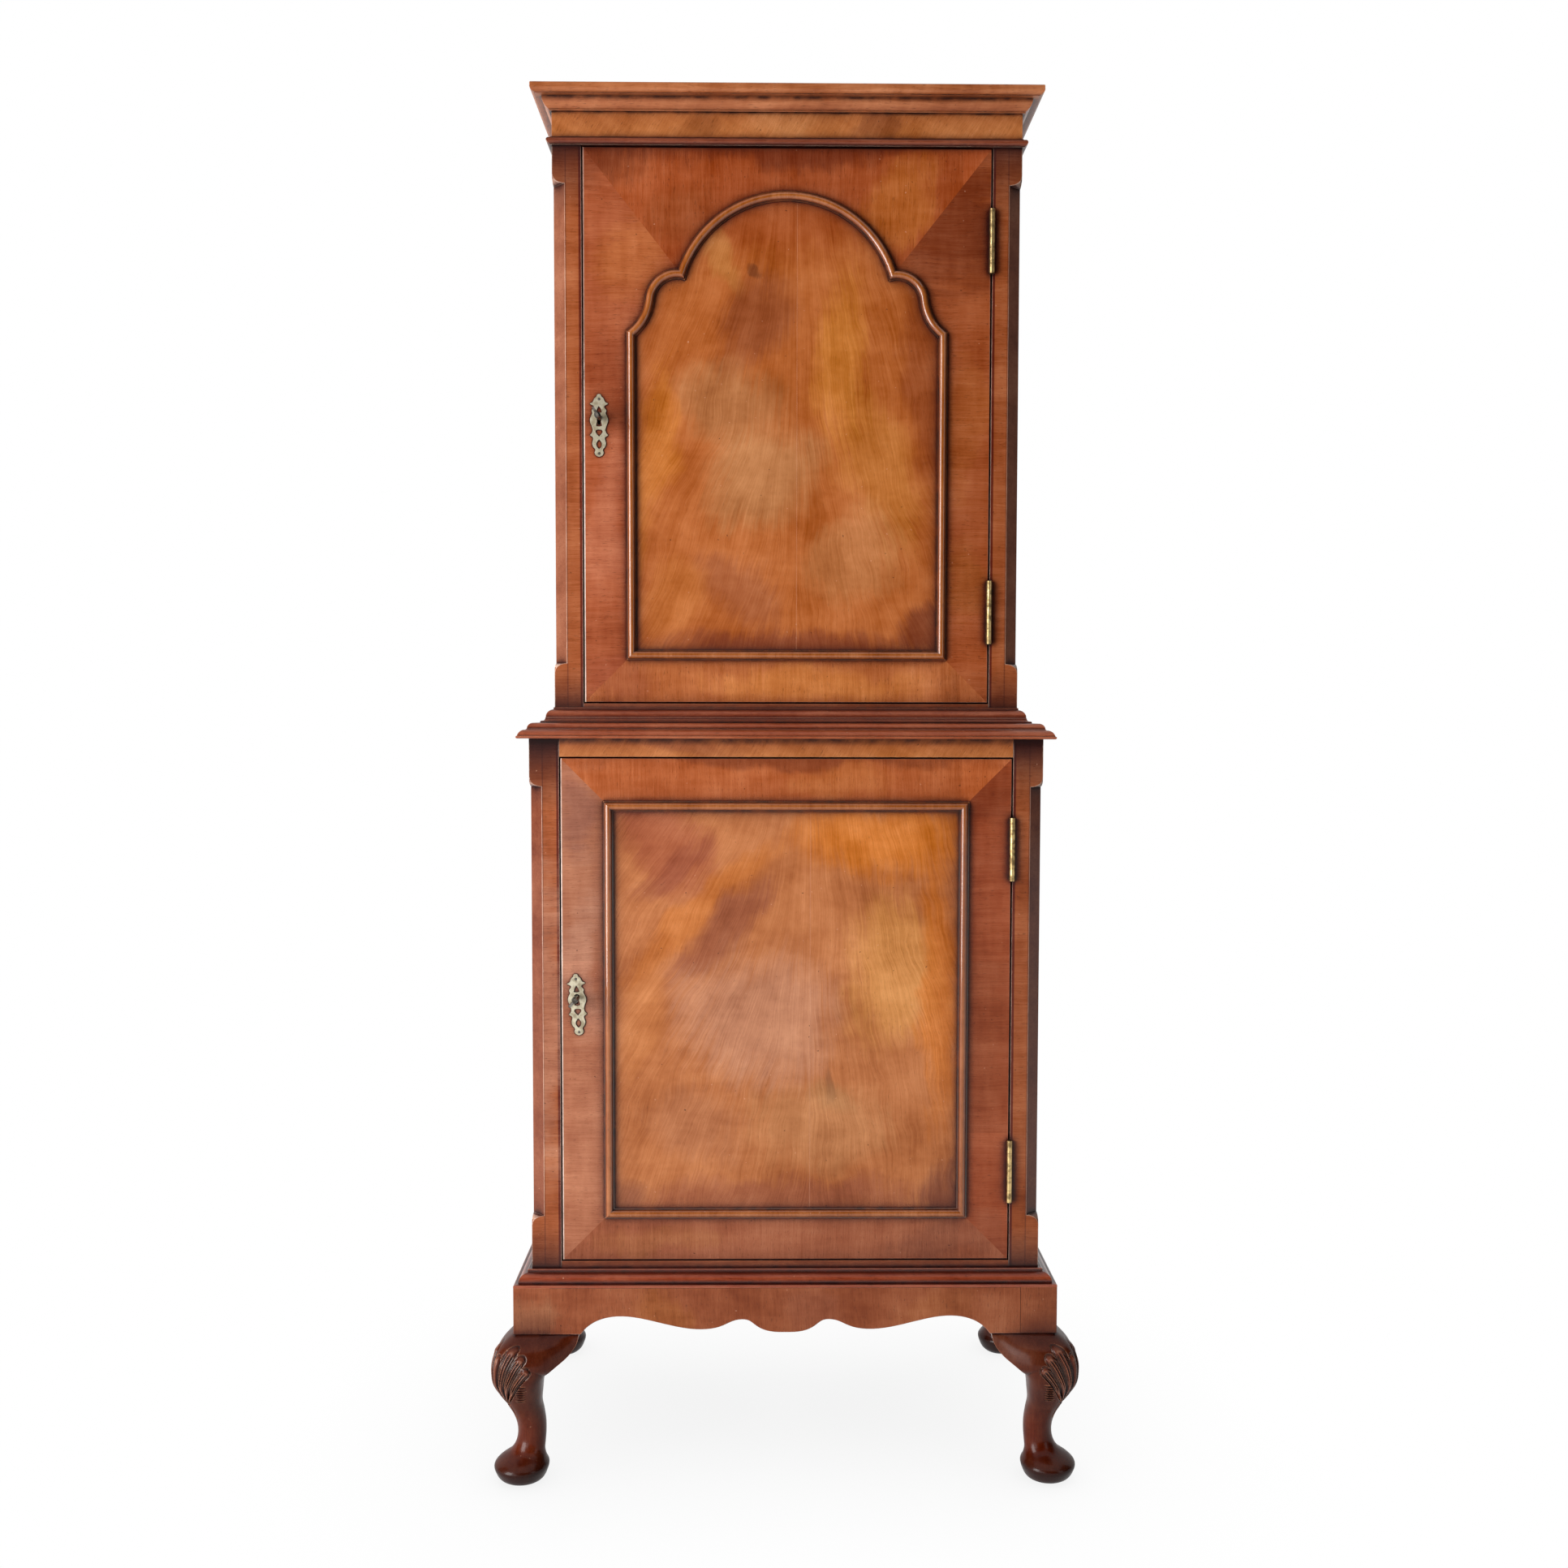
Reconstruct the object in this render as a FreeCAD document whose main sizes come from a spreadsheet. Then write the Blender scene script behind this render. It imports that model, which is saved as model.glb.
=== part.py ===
"""A two-tier walnut cupboard on a stand with four cabriole legs.

Frame: +Z up, +X to the right of someone who faces the doors, so the front looks along -Y.
The origin is on the floor, under the middle of the stand. Lengths are millimetres, angles degrees.
"""
import FreeCAD, Part
import math
import os

Vector = FreeCAD.Vector

# Driving dimensions
DIMENSIONS = {
    # stand
    "stand_width": 656,
    "stand_depth": 384,
    "leg_height": 180,
    "apron_height": 57,
    "apron_thickness": 24,
    "post_side": 44,
    "knee_reach": 25.5,
    "bracket_width": 37,
    "bracket_drop": 46,
    "bracket_thickness": 30,
    "tenon_length": 18,
    "tenon_thickness": 10,
    "tenon_shoulder": 7,
    "bearer_side": 20,
    "stand_moulding_height": 17.6,
    # lower cupboard
    "lower_inset": 20,
    "lower_height": 661,
    "lower_post_width": 36,
    "lower_rail_height": 26,
    "lower_frieze_height": 22,
    "waist_thickness": 18.6,
    "waist_overhang": 13.5,
    "waist_edge_width": 32,
    # upper cupboard
    "upper_inset": 47.5,
    "upper_height": 695.8,
    "upper_post_width": 35,
    "upper_rail_height": 23.4,
    "upper_foot_reach": 15.5,
    "upper_foot_height": 18.6,
    "bead_reach": 6,
    "bead_height": 9.9,
    "frieze_height": 29.6,
    "cornice_reach": 22.5,
    "cornice_height": 26,
    "cornice_board_thickness": 12,
    # boards of both cupboards
    "board_thickness": 16,
    "back_thickness": 8,
    "post_depth": 32,
    "shelf_setback": 6,
    "shelf_clearance": 0.5,
    "shelf_bearer_side": 12,
    "post_chamfer": 15,
    "chamfer_stop_rise": 10,
    "chamfer_nick": 1.2,
    "lower_chamfer_low": 81.7,
    "lower_chamfer_high": 57.6,
    "upper_chamfer_low": 71.8,
    "upper_chamfer_high": 54,
    # doors
    "door_gap": 1.5,
    "door_thickness": 20,
    "veneer_thickness": 1.2,
    "lower_banding_side": 57,
    "lower_banding_end": 57.5,
    "upper_banding_side": 57,
    "upper_banding_foot": 57,
    "upper_banding_head": 56.5,
    "arch_half_width": 126.5,
    "arch_rise": 92.4,
    "shoulder_drop": 70.5,
    "door_moulding_width": 12,
    "door_moulding_height": 6.5,
    "lower_seam_offset": 29,
    "upper_seam_offset": 12,
    # butt hinges
    "hinge_length": 76,
    "hinge_inset": 109,
    "leaf_width": 26,
    "leaf_thickness": 1.6,
    "leaf_gap": 0.3,
    "knuckle_radius": 3.25,
    "knuckle_clearance": 0.3,
    "pin_radius": 1.5,
    "running_clearance": 0.05,
    "screw_radius": 1.7,
    "screw_head_radius": 3.2,
    "screw_length": 14,
    "screw_pitch": 25,
    # locks, keys and escutcheons
    "key_backset": 18.6,
    "lower_key_height": 322,
    "upper_key_height": 340.5,
    "lock_width": 32,
    "lock_height": 56,
    "lock_thickness": 11,
    "lock_wall": 1.5,
    "bolt_length": 20,
    "bolt_height": 14,
    "bolt_thickness": 3.7,
    "bolt_recess": 0.3,
    "bolt_throw": 7.5,
    "moving_clearance": 0.3,
    "strike_height": 44,
    "strike_width": 14,
    "strike_thickness": 1.2,
    "key_shaft_radius": 2.6,
    "key_hole_clearance": 0.4,
    "key_stand_off": 20,
    "key_bow_length": 22,
    "key_bow_width": 17,
    "key_bow_thickness": 3,
    "key_bit_reach": 8,
    "key_bit_thickness": 2.4,
    "upper_key_tilt": -30,
    "lower_key_tilt": 43,
    "escutcheon_thickness": 1.2,
    "escutcheon_half_width": 10.2,
    "escutcheon_rise": 29,
    "escutcheon_drop": 46.7,
    "lower_escutcheon_tilt": 3.3,
    "plate_pin_radius": 0.8,
    "plate_pin_head_radius": 1.7,
    "plate_pin_length": 9,
}

# Cabriole leg: share of the leg's height, centre in from the apron's faces, half width, squareness,
# and its head inside the post: share of the leg's height, share of the post's half side, squareness
LEG_SECTIONS = (
    (0.000, 9.6, 21.5, 2.0),
    (0.020, 8.6, 27.0, 2.0),
    (0.060, 8.1, 31.2, 2.0),
    (0.105, 8.2, 33.0, 2.0),
    (0.140, 9.4, 28.6, 2.0),
    (0.180, 14.2, 21.2, 2.0),
    (0.225, 17.4, 18.2, 2.0),
    (0.290, 19.1, 17.2, 2.0),
    (0.365, 18.6, 17.6, 2.1),
    (0.445, 15.8, 18.8, 2.3),
    (0.520, 12.0, 20.6, 2.6),
    (0.595, 9.4, 24.2, 2.8),
    (0.695, 6.2, 29.7, 3.0),
    (0.780, 8.0, 33.4, 3.2),
    (0.845, 9.1, 33.1, 3.2),
    (0.930, 12.8, 29.3, 3.6),
)
LEG_HEAD = ((1.0, 0.93, 4.0), (1.05, 0.91, 4.0))
KNEE_SWELL = max(half - centre for _, centre, half, _ in LEG_SECTIONS)
SECTION_POINTS = 16

# Moulding profiles: shares of reach and height, a pair of pairs is an arc's middle and end
STAND_PROFILE = (
    (0, 0), (1, 0), (1, 0.125), (0.955, 0.165), (0.73, 0.19), ((0.635, 0.58), (0.285, 0.785)),
    (0.24, 0.81), (0.24, 0.955), (0.2, 1), (0, 1),
)
WAIST_PROFILE = (
    (0, 0), (0.955, 0), (1, 0.04), (1, 0.15), (0.956, 0.19), ((0.86, 0.46), (0.68, 0.57)),
    (0.637, 0.635), ((0.587, 0.87), (0.45, 1)), (0, 1),
)
UPPER_FOOT_PROFILE = (
    (0, 0), (1, 0), (1, 0.1), (0.9, 0.14), ((0.72, 0.18), (0.66, 0.32)), (0.62, 0.355),
    ((0.48, 0.7), (0.14, 0.86)), (0.08, 0.89), (0.08, 1), (0, 1),
)
BEAD_PROFILE = (
    (0, 0), (0.42, 0), (0.42, 0.1), ((1, 0.485), (0.42, 0.87)), (0.2, 0.93), (0.2, 1), (0, 1),
)
CORNICE_PROFILE = (
    (0, 0), (0.13, 0), (0.13, 0.06), (0.18, 0.085), ((0.365, 0.25), (0.46, 0.545)), (0.77, 0.573),
    (0.77, 0.6), ((0.94, 0.66), (1, 0.83)), (1, 0.97), (0.965, 1), (0, 1),
)
DOOR_PROFILE = (
    (-0.5, 0), (0.5, 0), (0.5, 0.23), (0.383, 0.23), ((0, 1), (-0.383, 0.23)), (-0.5, 0.23),
)

# Escutcheon: half outline from top to foot, shares of half width and of rise (+) or drop (-)
ESCUTCHEON_EDGE = (
    (0.32, 0.97), (0.36, 0.8), (0.62, 0.7), (1, 0.5), (0.62, 0.42), (0.8, 0.2), (0.98, -0.02),
    (0.86, -0.18), (0.74, -0.3), (1, -0.47), (0.66, -0.56), (0.84, -0.7), (0.66, -0.82), (0.42, -0.86),
    (0.5, -0.93), (0.3, -0.99),
)
# Apron edge: distance out from the middle and height above the leg's top
SIDE_APRON_MIDDLE = ((0, 8),)
APRON_MIDDLE = ((0, 2.2), (17.4, 3), (35, 9.9), (45.4, 17), (53, 18), (61, 16.8), (76.8, 10), (97.8, 5.9))
# and distance in from the leg's post, for the arch beside the bracket
APRON_ARCH = ((57, 16.6), (81.5, 21.9), (120, 17))

doc = FreeCAD.newDocument("cupboard")
sheet = doc.addObject("Spreadsheet::Sheet", "dims")
for row, (alias, value) in enumerate(DIMENSIONS.items(), start=1):
    sheet.set(f"A{row}", alias)
    sheet.set(f"B{row}", str(value))
    sheet.setAlias(f"B{row}", alias)
doc.recompute()

pieces = {}


def number(expression):
    """The value of an expression over the driving dimensions."""
    return float(sheet.evalExpression(expression))


# Faces that pieces share, as expressions
HALF_STAND = "(dims.stand_width / 2)"
STAND_FRONT = "(-dims.stand_depth / 2)"
BACK = "(dims.stand_depth / 2)"
STAND_TOP = "(dims.leg_height + dims.apron_height)"
LOWER_TOP = f"({STAND_TOP} + dims.lower_height)"
WAIST_TOP = f"({LOWER_TOP} + dims.waist_thickness)"
UPPER_TOP = f"({WAIST_TOP} + dims.upper_height)"
FRIEZE_TOP = f"({UPPER_TOP} + dims.frieze_height)"


class Tier:
    """One cupboard of the two, as expressions for the faces that its pieces share."""

    def __init__(self, name, foot, head, opening_head):
        self.name = name
        self.foot = foot
        self.head = head
        self.half = f"({HALF_STAND} - dims.{name}_inset)"
        self.front = f"({STAND_FRONT} + dims.{name}_inset)"
        self.inner_half = f"({self.half} - dims.board_thickness)"
        self.opening_half = f"({self.half} - dims.{name}_post_width)"
        self.opening_foot = f"({foot} + dims.{name}_rail_height)"
        self.opening_head = opening_head
        self.door_half = f"({self.opening_half} - dims.door_gap)"
        self.door_foot = f"({self.opening_foot} + dims.door_gap)"
        self.door_head = f"({opening_head} - dims.door_gap)"
        self.core_front = f"({self.front} + dims.veneer_thickness)"
        self.door_back = f"({self.front} + dims.door_thickness)"
        self.post_back = f"({self.front} + dims.post_depth)"
        self.panel_front = f"({BACK} - dims.back_thickness)"
        self.seam = f"(dims.{name}_seam_offset)"
        self.key_x = f"(dims.key_backset - {self.door_half})"
        self.key_z = f"({self.door_foot} + dims.{name}_key_height)"
        self.pin_x = f"({self.door_half} + dims.door_gap / 2)"
        self.pin_y = f"({self.front} - dims.knuckle_radius - dims.knuckle_clearance)"
        self.hinge_heights = (
            f"({self.door_foot} + dims.hinge_inset)",
            f"({self.door_head} - dims.hinge_inset)",
        )


LOWER = Tier("lower", STAND_TOP, LOWER_TOP, f"({LOWER_TOP} - dims.lower_frieze_height)")
UPPER = Tier("upper", WAIST_TOP, UPPER_TOP, f"({UPPER_TOP} - dims.bead_height)")
TIERS = (LOWER, UPPER)


# Building blocks
def keep(label, piece):
    """Names a finished sub-part and puts it on the list that is written out."""
    piece.Label = label
    pieces[label] = piece
    return piece


def board(name, x, y, z):
    """A plain board between two expressions along each axis."""
    box = doc.addObject("Part::Box", name)
    for side, axis, (low, high) in zip(("Length", "Width", "Height"), "xyz", (x, y, z)):
        box.setExpression(side, f"({high}) - ({low})")
        box.setExpression(f"Placement.Base.{axis}", low)
    return box


def solid(name, shape):
    """A document object for a shape that is worked out from the sheet."""
    feature = doc.addObject("Part::Feature", name)
    feature.Shape = shape
    return feature


def group(name, members):
    """Several separate solids that share one node."""
    compound = doc.addObject("Part::Compound", name)
    compound.Links = members
    return compound


def cut(name, base, tools):
    """A piece less the shapes that are cut out of it."""
    cutter = solid(name + "_cutter", Part.makeCompound(tools))
    result = doc.addObject("Part::Cut", name)
    result.Base = base
    result.Tool = cutter
    return result


def block(x, y, z):
    """A rectangular shape between two numbers along each axis."""
    return Part.makeBox(x[1] - x[0], y[1] - y[0], z[1] - z[0], Vector(x[0], y[0], z[0]))


def numbers(*expressions):
    """The values of several expressions."""
    return tuple(number(expression) for expression in expressions)


def spline(points):
    """A smooth edge through the given points."""
    curve = Part.BSplineCurve()
    curve.interpolate(points)
    return curve.toShape()


def polygon(points):
    """A flat face with straight edges through the given points."""
    return Part.Face(Part.makePolygon(points + points[:1]))


def profile_face(steps, place):
    """A closed face from profile steps, each put into space by place(out, up)."""
    start = place(*steps[0])
    here = start
    edges = []
    for step in steps[1:]:
        if isinstance(step[0], tuple):
            middle, end = (place(*pair) for pair in step)
            edges.append(Part.Arc(here, middle, end).toShape())
        else:
            end = place(*step)
            edges.append(Part.makeLine(here, end))
        here = end
    if not here.isEqual(start, 1e-6):
        edges.append(Part.makeLine(here, start))
    return Part.Face(Part.Wire(edges))


def origin_plane(body, role):
    """One of a body's own origin planes."""
    return next(plane for plane in body.Origin.OriginFeatures if plane.Role == role)


def padded(name, role, curves, thickness):
    """A body padded from closed outlines that are drawn on one of its own planes."""
    body = doc.addObject("PartDesign::Body", name)
    sketch = body.newObject("Sketcher::SketchObject", name + "_outline")
    sketch.AttachmentSupport = [(origin_plane(body, role), "")]
    sketch.MapMode = "FlatFace"
    sketch.addGeometry(curves, False)
    pad = body.newObject("PartDesign::Pad", name + "_pad")
    pad.Profile = sketch
    pad.setExpression("Length", thickness)
    return body


# Stand
def leg_section(share, centre, half, squareness):
    """One closed section of the front left leg, a rounded square on the corner's diagonal."""
    corner_x, corner_y, leg_height = numbers(f"-{HALF_STAND}", STAND_FRONT, "dims.leg_height")
    points = []
    for step in range(SECTION_POINTS):
        angle = 2 * math.pi * step / SECTION_POINTS
        along, across = math.cos(angle), math.sin(angle)
        x = math.copysign(abs(along) ** (2 / squareness), along) * half
        y = math.copysign(abs(across) ** (2 / squareness), across) * half
        points.append(Vector(corner_x + centre + x, corner_y + centre + y, share * leg_height))
    curve = Part.BSplineCurve()
    curve.interpolate(points, PeriodicFlag=True)
    return Part.Wire(curve.toShape())


def tenon_block(along_x, near, far, face):
    """A tenon, or its mortise, between two places along the apron, in from the apron's outer face."""
    shoulder, thickness = numbers("dims.tenon_shoulder", "dims.tenon_thickness")
    low, high = numbers("dims.leg_height", STAND_TOP)
    inward = -math.copysign(1, face)
    across = sorted((face + inward * shoulder, face + inward * (shoulder + thickness)))
    along = sorted((near, far))
    rise = (low + shoulder, high - shoulder)
    return block(along, across, rise) if along_x else block(across, along, rise)


def leg_shape():
    """The front left leg: pad foot, ankle and knee lofted, with the square post above them."""
    post, reach, low, high = numbers("dims.post_side", "dims.knee_reach", "dims.leg_height", STAND_TOP)
    half_width, half_depth, length = numbers(HALF_STAND, BACK, "dims.tenon_length")
    swell = reach / KNEE_SWELL
    rows = [(share, centre * swell, half * swell, square) for share, centre, half, square in LEG_SECTIONS]
    rows += [(share, post / 2, fill * post / 2, square) for share, fill, square in LEG_HEAD]
    loft = Part.makeLoft([leg_section(*row) for row in rows], True, False)
    column = block((-half_width, post - half_width), (-half_depth, post - half_depth), (low, high))
    inner_x, inner_y = post - half_width, post - half_depth
    front_mortise = tenon_block(True, inner_x - length, inner_x, -half_depth)
    side_mortise = tenon_block(False, inner_y - length, inner_y, -half_width)
    return loft.fuse(column).removeSplitter().cut([front_mortise, side_mortise])


def make_legs():
    """Four legs, the front left one mirrored to the other corners."""
    front_left = leg_shape()
    middle = Vector(0, 0, 0)
    front_right = front_left.mirror(middle, Vector(1, 0, 0))
    keep("leg_front_left", solid("leg_front_left", front_left))
    keep("leg_front_right", solid("leg_front_right", front_right))
    keep("leg_rear_left", solid("leg_rear_left", front_left.mirror(middle, Vector(0, 1, 0))))
    keep("leg_rear_right", solid("leg_rear_right", front_right.mirror(middle, Vector(0, 1, 0))))


def bracket_shape():
    """A knee bracket that runs along +X from a leg's post at the origin, its top at the apron's foot."""
    width, drop, thickness = numbers("dims.bracket_width", "dims.bracket_drop", "dims.bracket_thickness")
    corner = Vector(0, 0, 0)
    tip = Vector(width, 0, 0)
    foot = Vector(0, 0, -drop)
    lip = Vector(width, 0, -0.08 * drop)
    curve = spline([
        lip,
        Vector(0.95 * width, 0, -0.26 * drop),
        Vector(0.62 * width, 0, -0.58 * drop),
        Vector(0.24 * width, 0, -0.79 * drop),
        foot,
    ])
    edges = [Part.makeLine(corner, tip), Part.makeLine(tip, lip), curve, Part.makeLine(foot, corner)]
    return Part.Face(Part.Wire(edges)).extrude(Vector(0, thickness, 0))


def make_brackets():
    """Brackets under the front apron and both side aprons, beside each knee."""
    half_width, half_depth, post, low = numbers(HALF_STAND, BACK, "dims.post_side", "dims.leg_height")
    front = bracket_shape()
    front.translate(Vector(post - half_width, -half_depth, low))
    side = bracket_shape().mirror(Vector(0, 0, 0), Vector(0, 1, 0))
    side.rotate(Vector(0, 0, 0), Vector(0, 0, 1), 90)
    side.translate(Vector(-half_width, post - half_depth, low))
    middle = Vector(0, 0, 0)
    left = [front, side, side.mirror(middle, Vector(0, 1, 0))]
    right = [shape.mirror(middle, Vector(1, 0, 0)) for shape in left]
    members = [solid(f"knee_bracket_{place}", shape) for place, shape in enumerate(left + right)]
    keep("knee_brackets", group("knee_brackets", members))


def apron_outline(half, middle_points, arch_points):
    """Closed outline of an apron between two posts: straight top, scrolled lower edge."""
    top, low, bracket = numbers(STAND_TOP, "dims.leg_height", "dims.bracket_width")
    arch = [(half - inset, low + height) for inset, height in arch_points]
    start = (half - bracket, low)
    scroll = [(out, low + height) for out, height in middle_points]
    right = scroll + arch[::-1] + [start]
    left = [(-out, height) for out, height in right[::-1]]
    points = [Vector(x, z, 0) for x, z in left[:-1] + right]
    curve = Part.BSplineCurve()
    curve.interpolate(points)
    ends = [start, (half, low), (half, top), (-half, top), (-half, low), (bracket - half, low)]
    lines = [Part.LineSegment(Vector(*one, 0), Vector(*two, 0)) for one, two in zip(ends, ends[1:])]
    return [curve] + lines


def apron_tenons(name, along_x, half, face):
    """The tenons at both ends of an apron."""
    length = number("dims.tenon_length")
    ends = ((-half - length, -half), (half, half + length))
    return [
        solid(f"{name}_tenon_{end}", tenon_block(along_x, near, far, face))
        for end, (near, far) in enumerate(ends)
    ]


def join(name, members):
    """Pieces of one board joined into a single solid."""
    fusion = doc.addObject("Part::MultiFuse", name)
    fusion.Shapes = members
    fusion.Refine = True
    return fusion


def make_aprons():
    """Scrolled aprons at the front and sides, and a plain rail at the rear."""
    half_x = number(f"{HALF_STAND} - dims.post_side")
    half_y = number(f"{BACK} - dims.post_side")
    scroll = apron_outline(half_x, APRON_MIDDLE, APRON_ARCH)
    front = padded("front_apron_board", "XZ_Plane", scroll, "dims.apron_thickness")
    front.setExpression("Placement.Base.y", f"{STAND_FRONT} + dims.apron_thickness")
    tenons = apron_tenons("front_apron", True, half_x, number(STAND_FRONT))
    keep("front_apron", join("front_apron", [front] + tenons))
    sides = []
    for name, face in (("left", f"-{HALF_STAND}"), ("right", f"{HALF_STAND} - dims.apron_thickness")):
        outline = apron_outline(half_y, SIDE_APRON_MIDDLE, APRON_ARCH[:2])
        side = padded(f"{name}_apron_board", "YZ_Plane", outline, "dims.apron_thickness")
        side.setExpression("Placement.Base.x", face)
        outer = math.copysign(number(HALF_STAND), number(face))
        tenons = apron_tenons(f"{name}_apron", False, half_y, outer)
        sides.append(join(f"{name}_apron", [side] + tenons))
    keep("side_aprons", group("side_aprons", sides))
    rail = board(
        "rear_rail_board",
        (f"dims.post_side - {HALF_STAND}", f"{HALF_STAND} - dims.post_side"),
        (f"{BACK} - dims.apron_thickness", BACK),
        ("dims.leg_height", STAND_TOP),
    )
    keep("rear_rail", join("rear_rail", [rail] + apron_tenons("rear_rail", True, half_x, number(BACK))))


def make_stand_bearers():
    """Two bearers along the side aprons that the lower cupboard stands on."""
    outer = f"({HALF_STAND} - dims.apron_thickness)"
    inner = f"({outer} - dims.bearer_side)"
    run = (f"dims.post_side - {BACK}", f"{BACK} - dims.post_side")
    rise = (f"{STAND_TOP} - dims.bearer_side", STAND_TOP)
    left = board("stand_bearer_left", (f"-{outer}", f"-{inner}"), run, rise)
    right = board("stand_bearer_right", (inner, outer), run, rise)
    keep("stand_bearers", group("stand_bearers", [left, right]))


# Mouldings that run round the front and both sides
def wedge(corner, across, along, depth, low, high):
    """A triangular block between a mitre and the direction along, used to trim a moulding's end."""
    points = [corner, corner + (across + along) * depth, corner + along * depth]
    face = polygon([Vector(p.x, p.y, low - 1) for p in points])
    return face.extrude(Vector(0, 0, high - low + 2))


def moulding_strips(profile, half, front, back, foot, reach, height):
    """Three strips of one profile, mitred at the front corners."""
    out_front, out_left = Vector(0, -1, 0), Vector(-1, 0, 0)
    corner = Vector(-half, front, 0)

    def on_front(out, up):
        return Vector(-half - reach, front - out * reach, foot + up * height)

    def on_left(out, up):
        return Vector(-half - out * reach, front - reach, foot + up * height)

    trim = (2 * reach, foot, foot + height)
    strip = profile_face(profile, on_front).extrude(Vector(2 * (half + reach), 0, 0))
    left_end = wedge(corner, out_front, out_left, *trim)
    right_end = left_end.mirror(Vector(0, 0, 0), Vector(1, 0, 0))
    front_strip = strip.cut([left_end, right_end])
    side = profile_face(profile, on_left).extrude(Vector(0, back - front + reach, 0))
    left_strip = side.cut(wedge(corner, out_left, out_front, *trim))
    return [front_strip, left_strip, left_strip.mirror(Vector(0, 0, 0), Vector(1, 0, 0))]


def moulding(label, profile, half, front, foot, reach, height):
    """A node with the three mitred strips of one moulding."""
    values = numbers(half, front, BACK, foot, reach, height)
    names = ("front", "left", "right")
    strips = moulding_strips(profile, *values)
    members = [solid(f"{label}_{name}", strip) for name, strip in zip(names, strips)]
    keep(label, group(label, members))


def make_mouldings():
    """Stand moulding, moulded waist edge, upper foot moulding, frieze bead and cornice."""
    edge = "(dims.waist_edge_width - dims.waist_overhang)"
    moulding(
        "stand_moulding", STAND_PROFILE, LOWER.half, LOWER.front, STAND_TOP,
        "dims.lower_inset", "dims.stand_moulding_height",
    )
    moulding(
        "waist_moulding", WAIST_PROFILE, f"{LOWER.half} - {edge}", f"{LOWER.front} + {edge}", LOWER_TOP,
        "dims.waist_edge_width", "dims.waist_thickness",
    )
    moulding(
        "upper_foot_moulding", UPPER_FOOT_PROFILE, UPPER.half, UPPER.front, WAIST_TOP,
        "dims.upper_foot_reach", "dims.upper_foot_height",
    )
    moulding(
        "frieze_bead", BEAD_PROFILE, UPPER.half, UPPER.front, f"{UPPER_TOP} - dims.bead_height",
        "dims.bead_reach", "dims.bead_height",
    )
    moulding(
        "cornice_moulding", CORNICE_PROFILE, UPPER.half, UPPER.front, FRIEZE_TOP,
        "dims.cornice_reach", "dims.cornice_height",
    )


# Carcases
def chamfer_cutter(tier):
    """The stopped chamfer on the left post's outer corner, as the shape that it takes away."""
    size, rise, nick = numbers("dims.post_chamfer", "dims.chamfer_stop_rise", "dims.chamfer_nick")
    low, high = numbers(
        f"{tier.foot} + dims.{tier.name}_chamfer_low", f"{tier.head} - dims.{tier.name}_chamfer_high")
    outside = -size

    def stop(end, way):
        """The quarter-round stop and the nick beyond it, from the chamfer's end outwards."""
        bend = math.sqrt(0.5)
        span = size - nick / 2
        round_end = (nick / 2, end + way * rise)
        middle = (size - span * bend, end + way * rise * (1 - bend))
        return [(middle, round_end), (0, end + way * (rise + nick / 2))]

    above = stop(high, 1)
    below = stop(low, -1)
    steps = [(size, low), (size, high), *above, (outside, high + rise + nick)]
    steps += [(outside, low - rise - nick), below[1]]
    middle, round_end = below[0]
    steps += [round_end, (middle, (size, low))]
    corner = Vector(-number(tier.half), number(tier.front), 0)
    diagonal = Vector(0.5, 0.5, 0)
    along = Vector(size, -size, 0)

    def place(depth, height):
        return corner + diagonal * depth + Vector(0, 0, height) - along

    return profile_face(steps, place).extrude(along * 2)


def hinge_sites(tier):
    """The heights of a door's hinges."""
    return numbers(*tier.hinge_heights)


def leaf_box(tier, height, side):
    """The plate of one hinge leaf, on the door (side -1) or the case (side 1)."""
    pin_x, front = numbers(tier.pin_x, tier.front)
    gap, thickness = numbers("dims.leaf_gap", "dims.leaf_thickness")
    width, length = numbers("dims.leaf_width", "dims.hinge_length")
    x = sorted((pin_x + side * gap / 2, pin_x + side * (gap / 2 + thickness)))
    return block(x, (front, front + width), (height - length / 2, height + length / 2))


def screw_places(tier, height, side):
    """Where a leaf's three screws enter it, and the way that they point."""
    pin_x, front = numbers(tier.pin_x, tier.front)
    gap, width, pitch = numbers("dims.leaf_gap", "dims.leaf_width", "dims.screw_pitch")
    x = pin_x + side * gap / 2
    stagger = width / 8
    for place in (-1, 0, 1):
        y = front + width / 2 + (stagger if place else -stagger)
        yield Vector(x, y, height + place * pitch), Vector(side, 0, 0)


def screw_shape(point, way, clearance):
    """A countersunk wood screw whose head is flush at the given point, or the hole for it."""
    radius, head, length = numbers("dims.screw_radius", "dims.screw_head_radius", "dims.screw_length")
    depth = number("dims.leaf_thickness")
    cone = Part.makeCone(head + clearance, radius + clearance, depth, point, way)
    shank = Part.makeCylinder(radius + clearance, length - depth + clearance, point + way * depth, way)
    return cone.fuse(shank)


def hinge_cutters(tier, side):
    """Leaf mortises and screw holes for one side of a door's hinges."""
    clearance = number("dims.running_clearance")
    tools = []
    for height in hinge_sites(tier):
        tools.append(leaf_box(tier, height, side))
        tools += [screw_shape(point, way, clearance) for point, way in screw_places(tier, height, side)]
    return tools


def bolt_span(tier, clearance):
    """A lock bolt's section along Y and Z, widened by a clearance."""
    back, key_z, height = numbers(tier.door_back, tier.key_z, "dims.bolt_height")
    wall, thickness, gap = numbers("dims.lock_wall", "dims.bolt_thickness", "dims.moving_clearance")
    rear = back - wall - gap
    y = (rear - thickness - clearance, rear + clearance)
    return y, (key_z - height / 2 - clearance, key_z + height / 2 + clearance)


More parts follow.
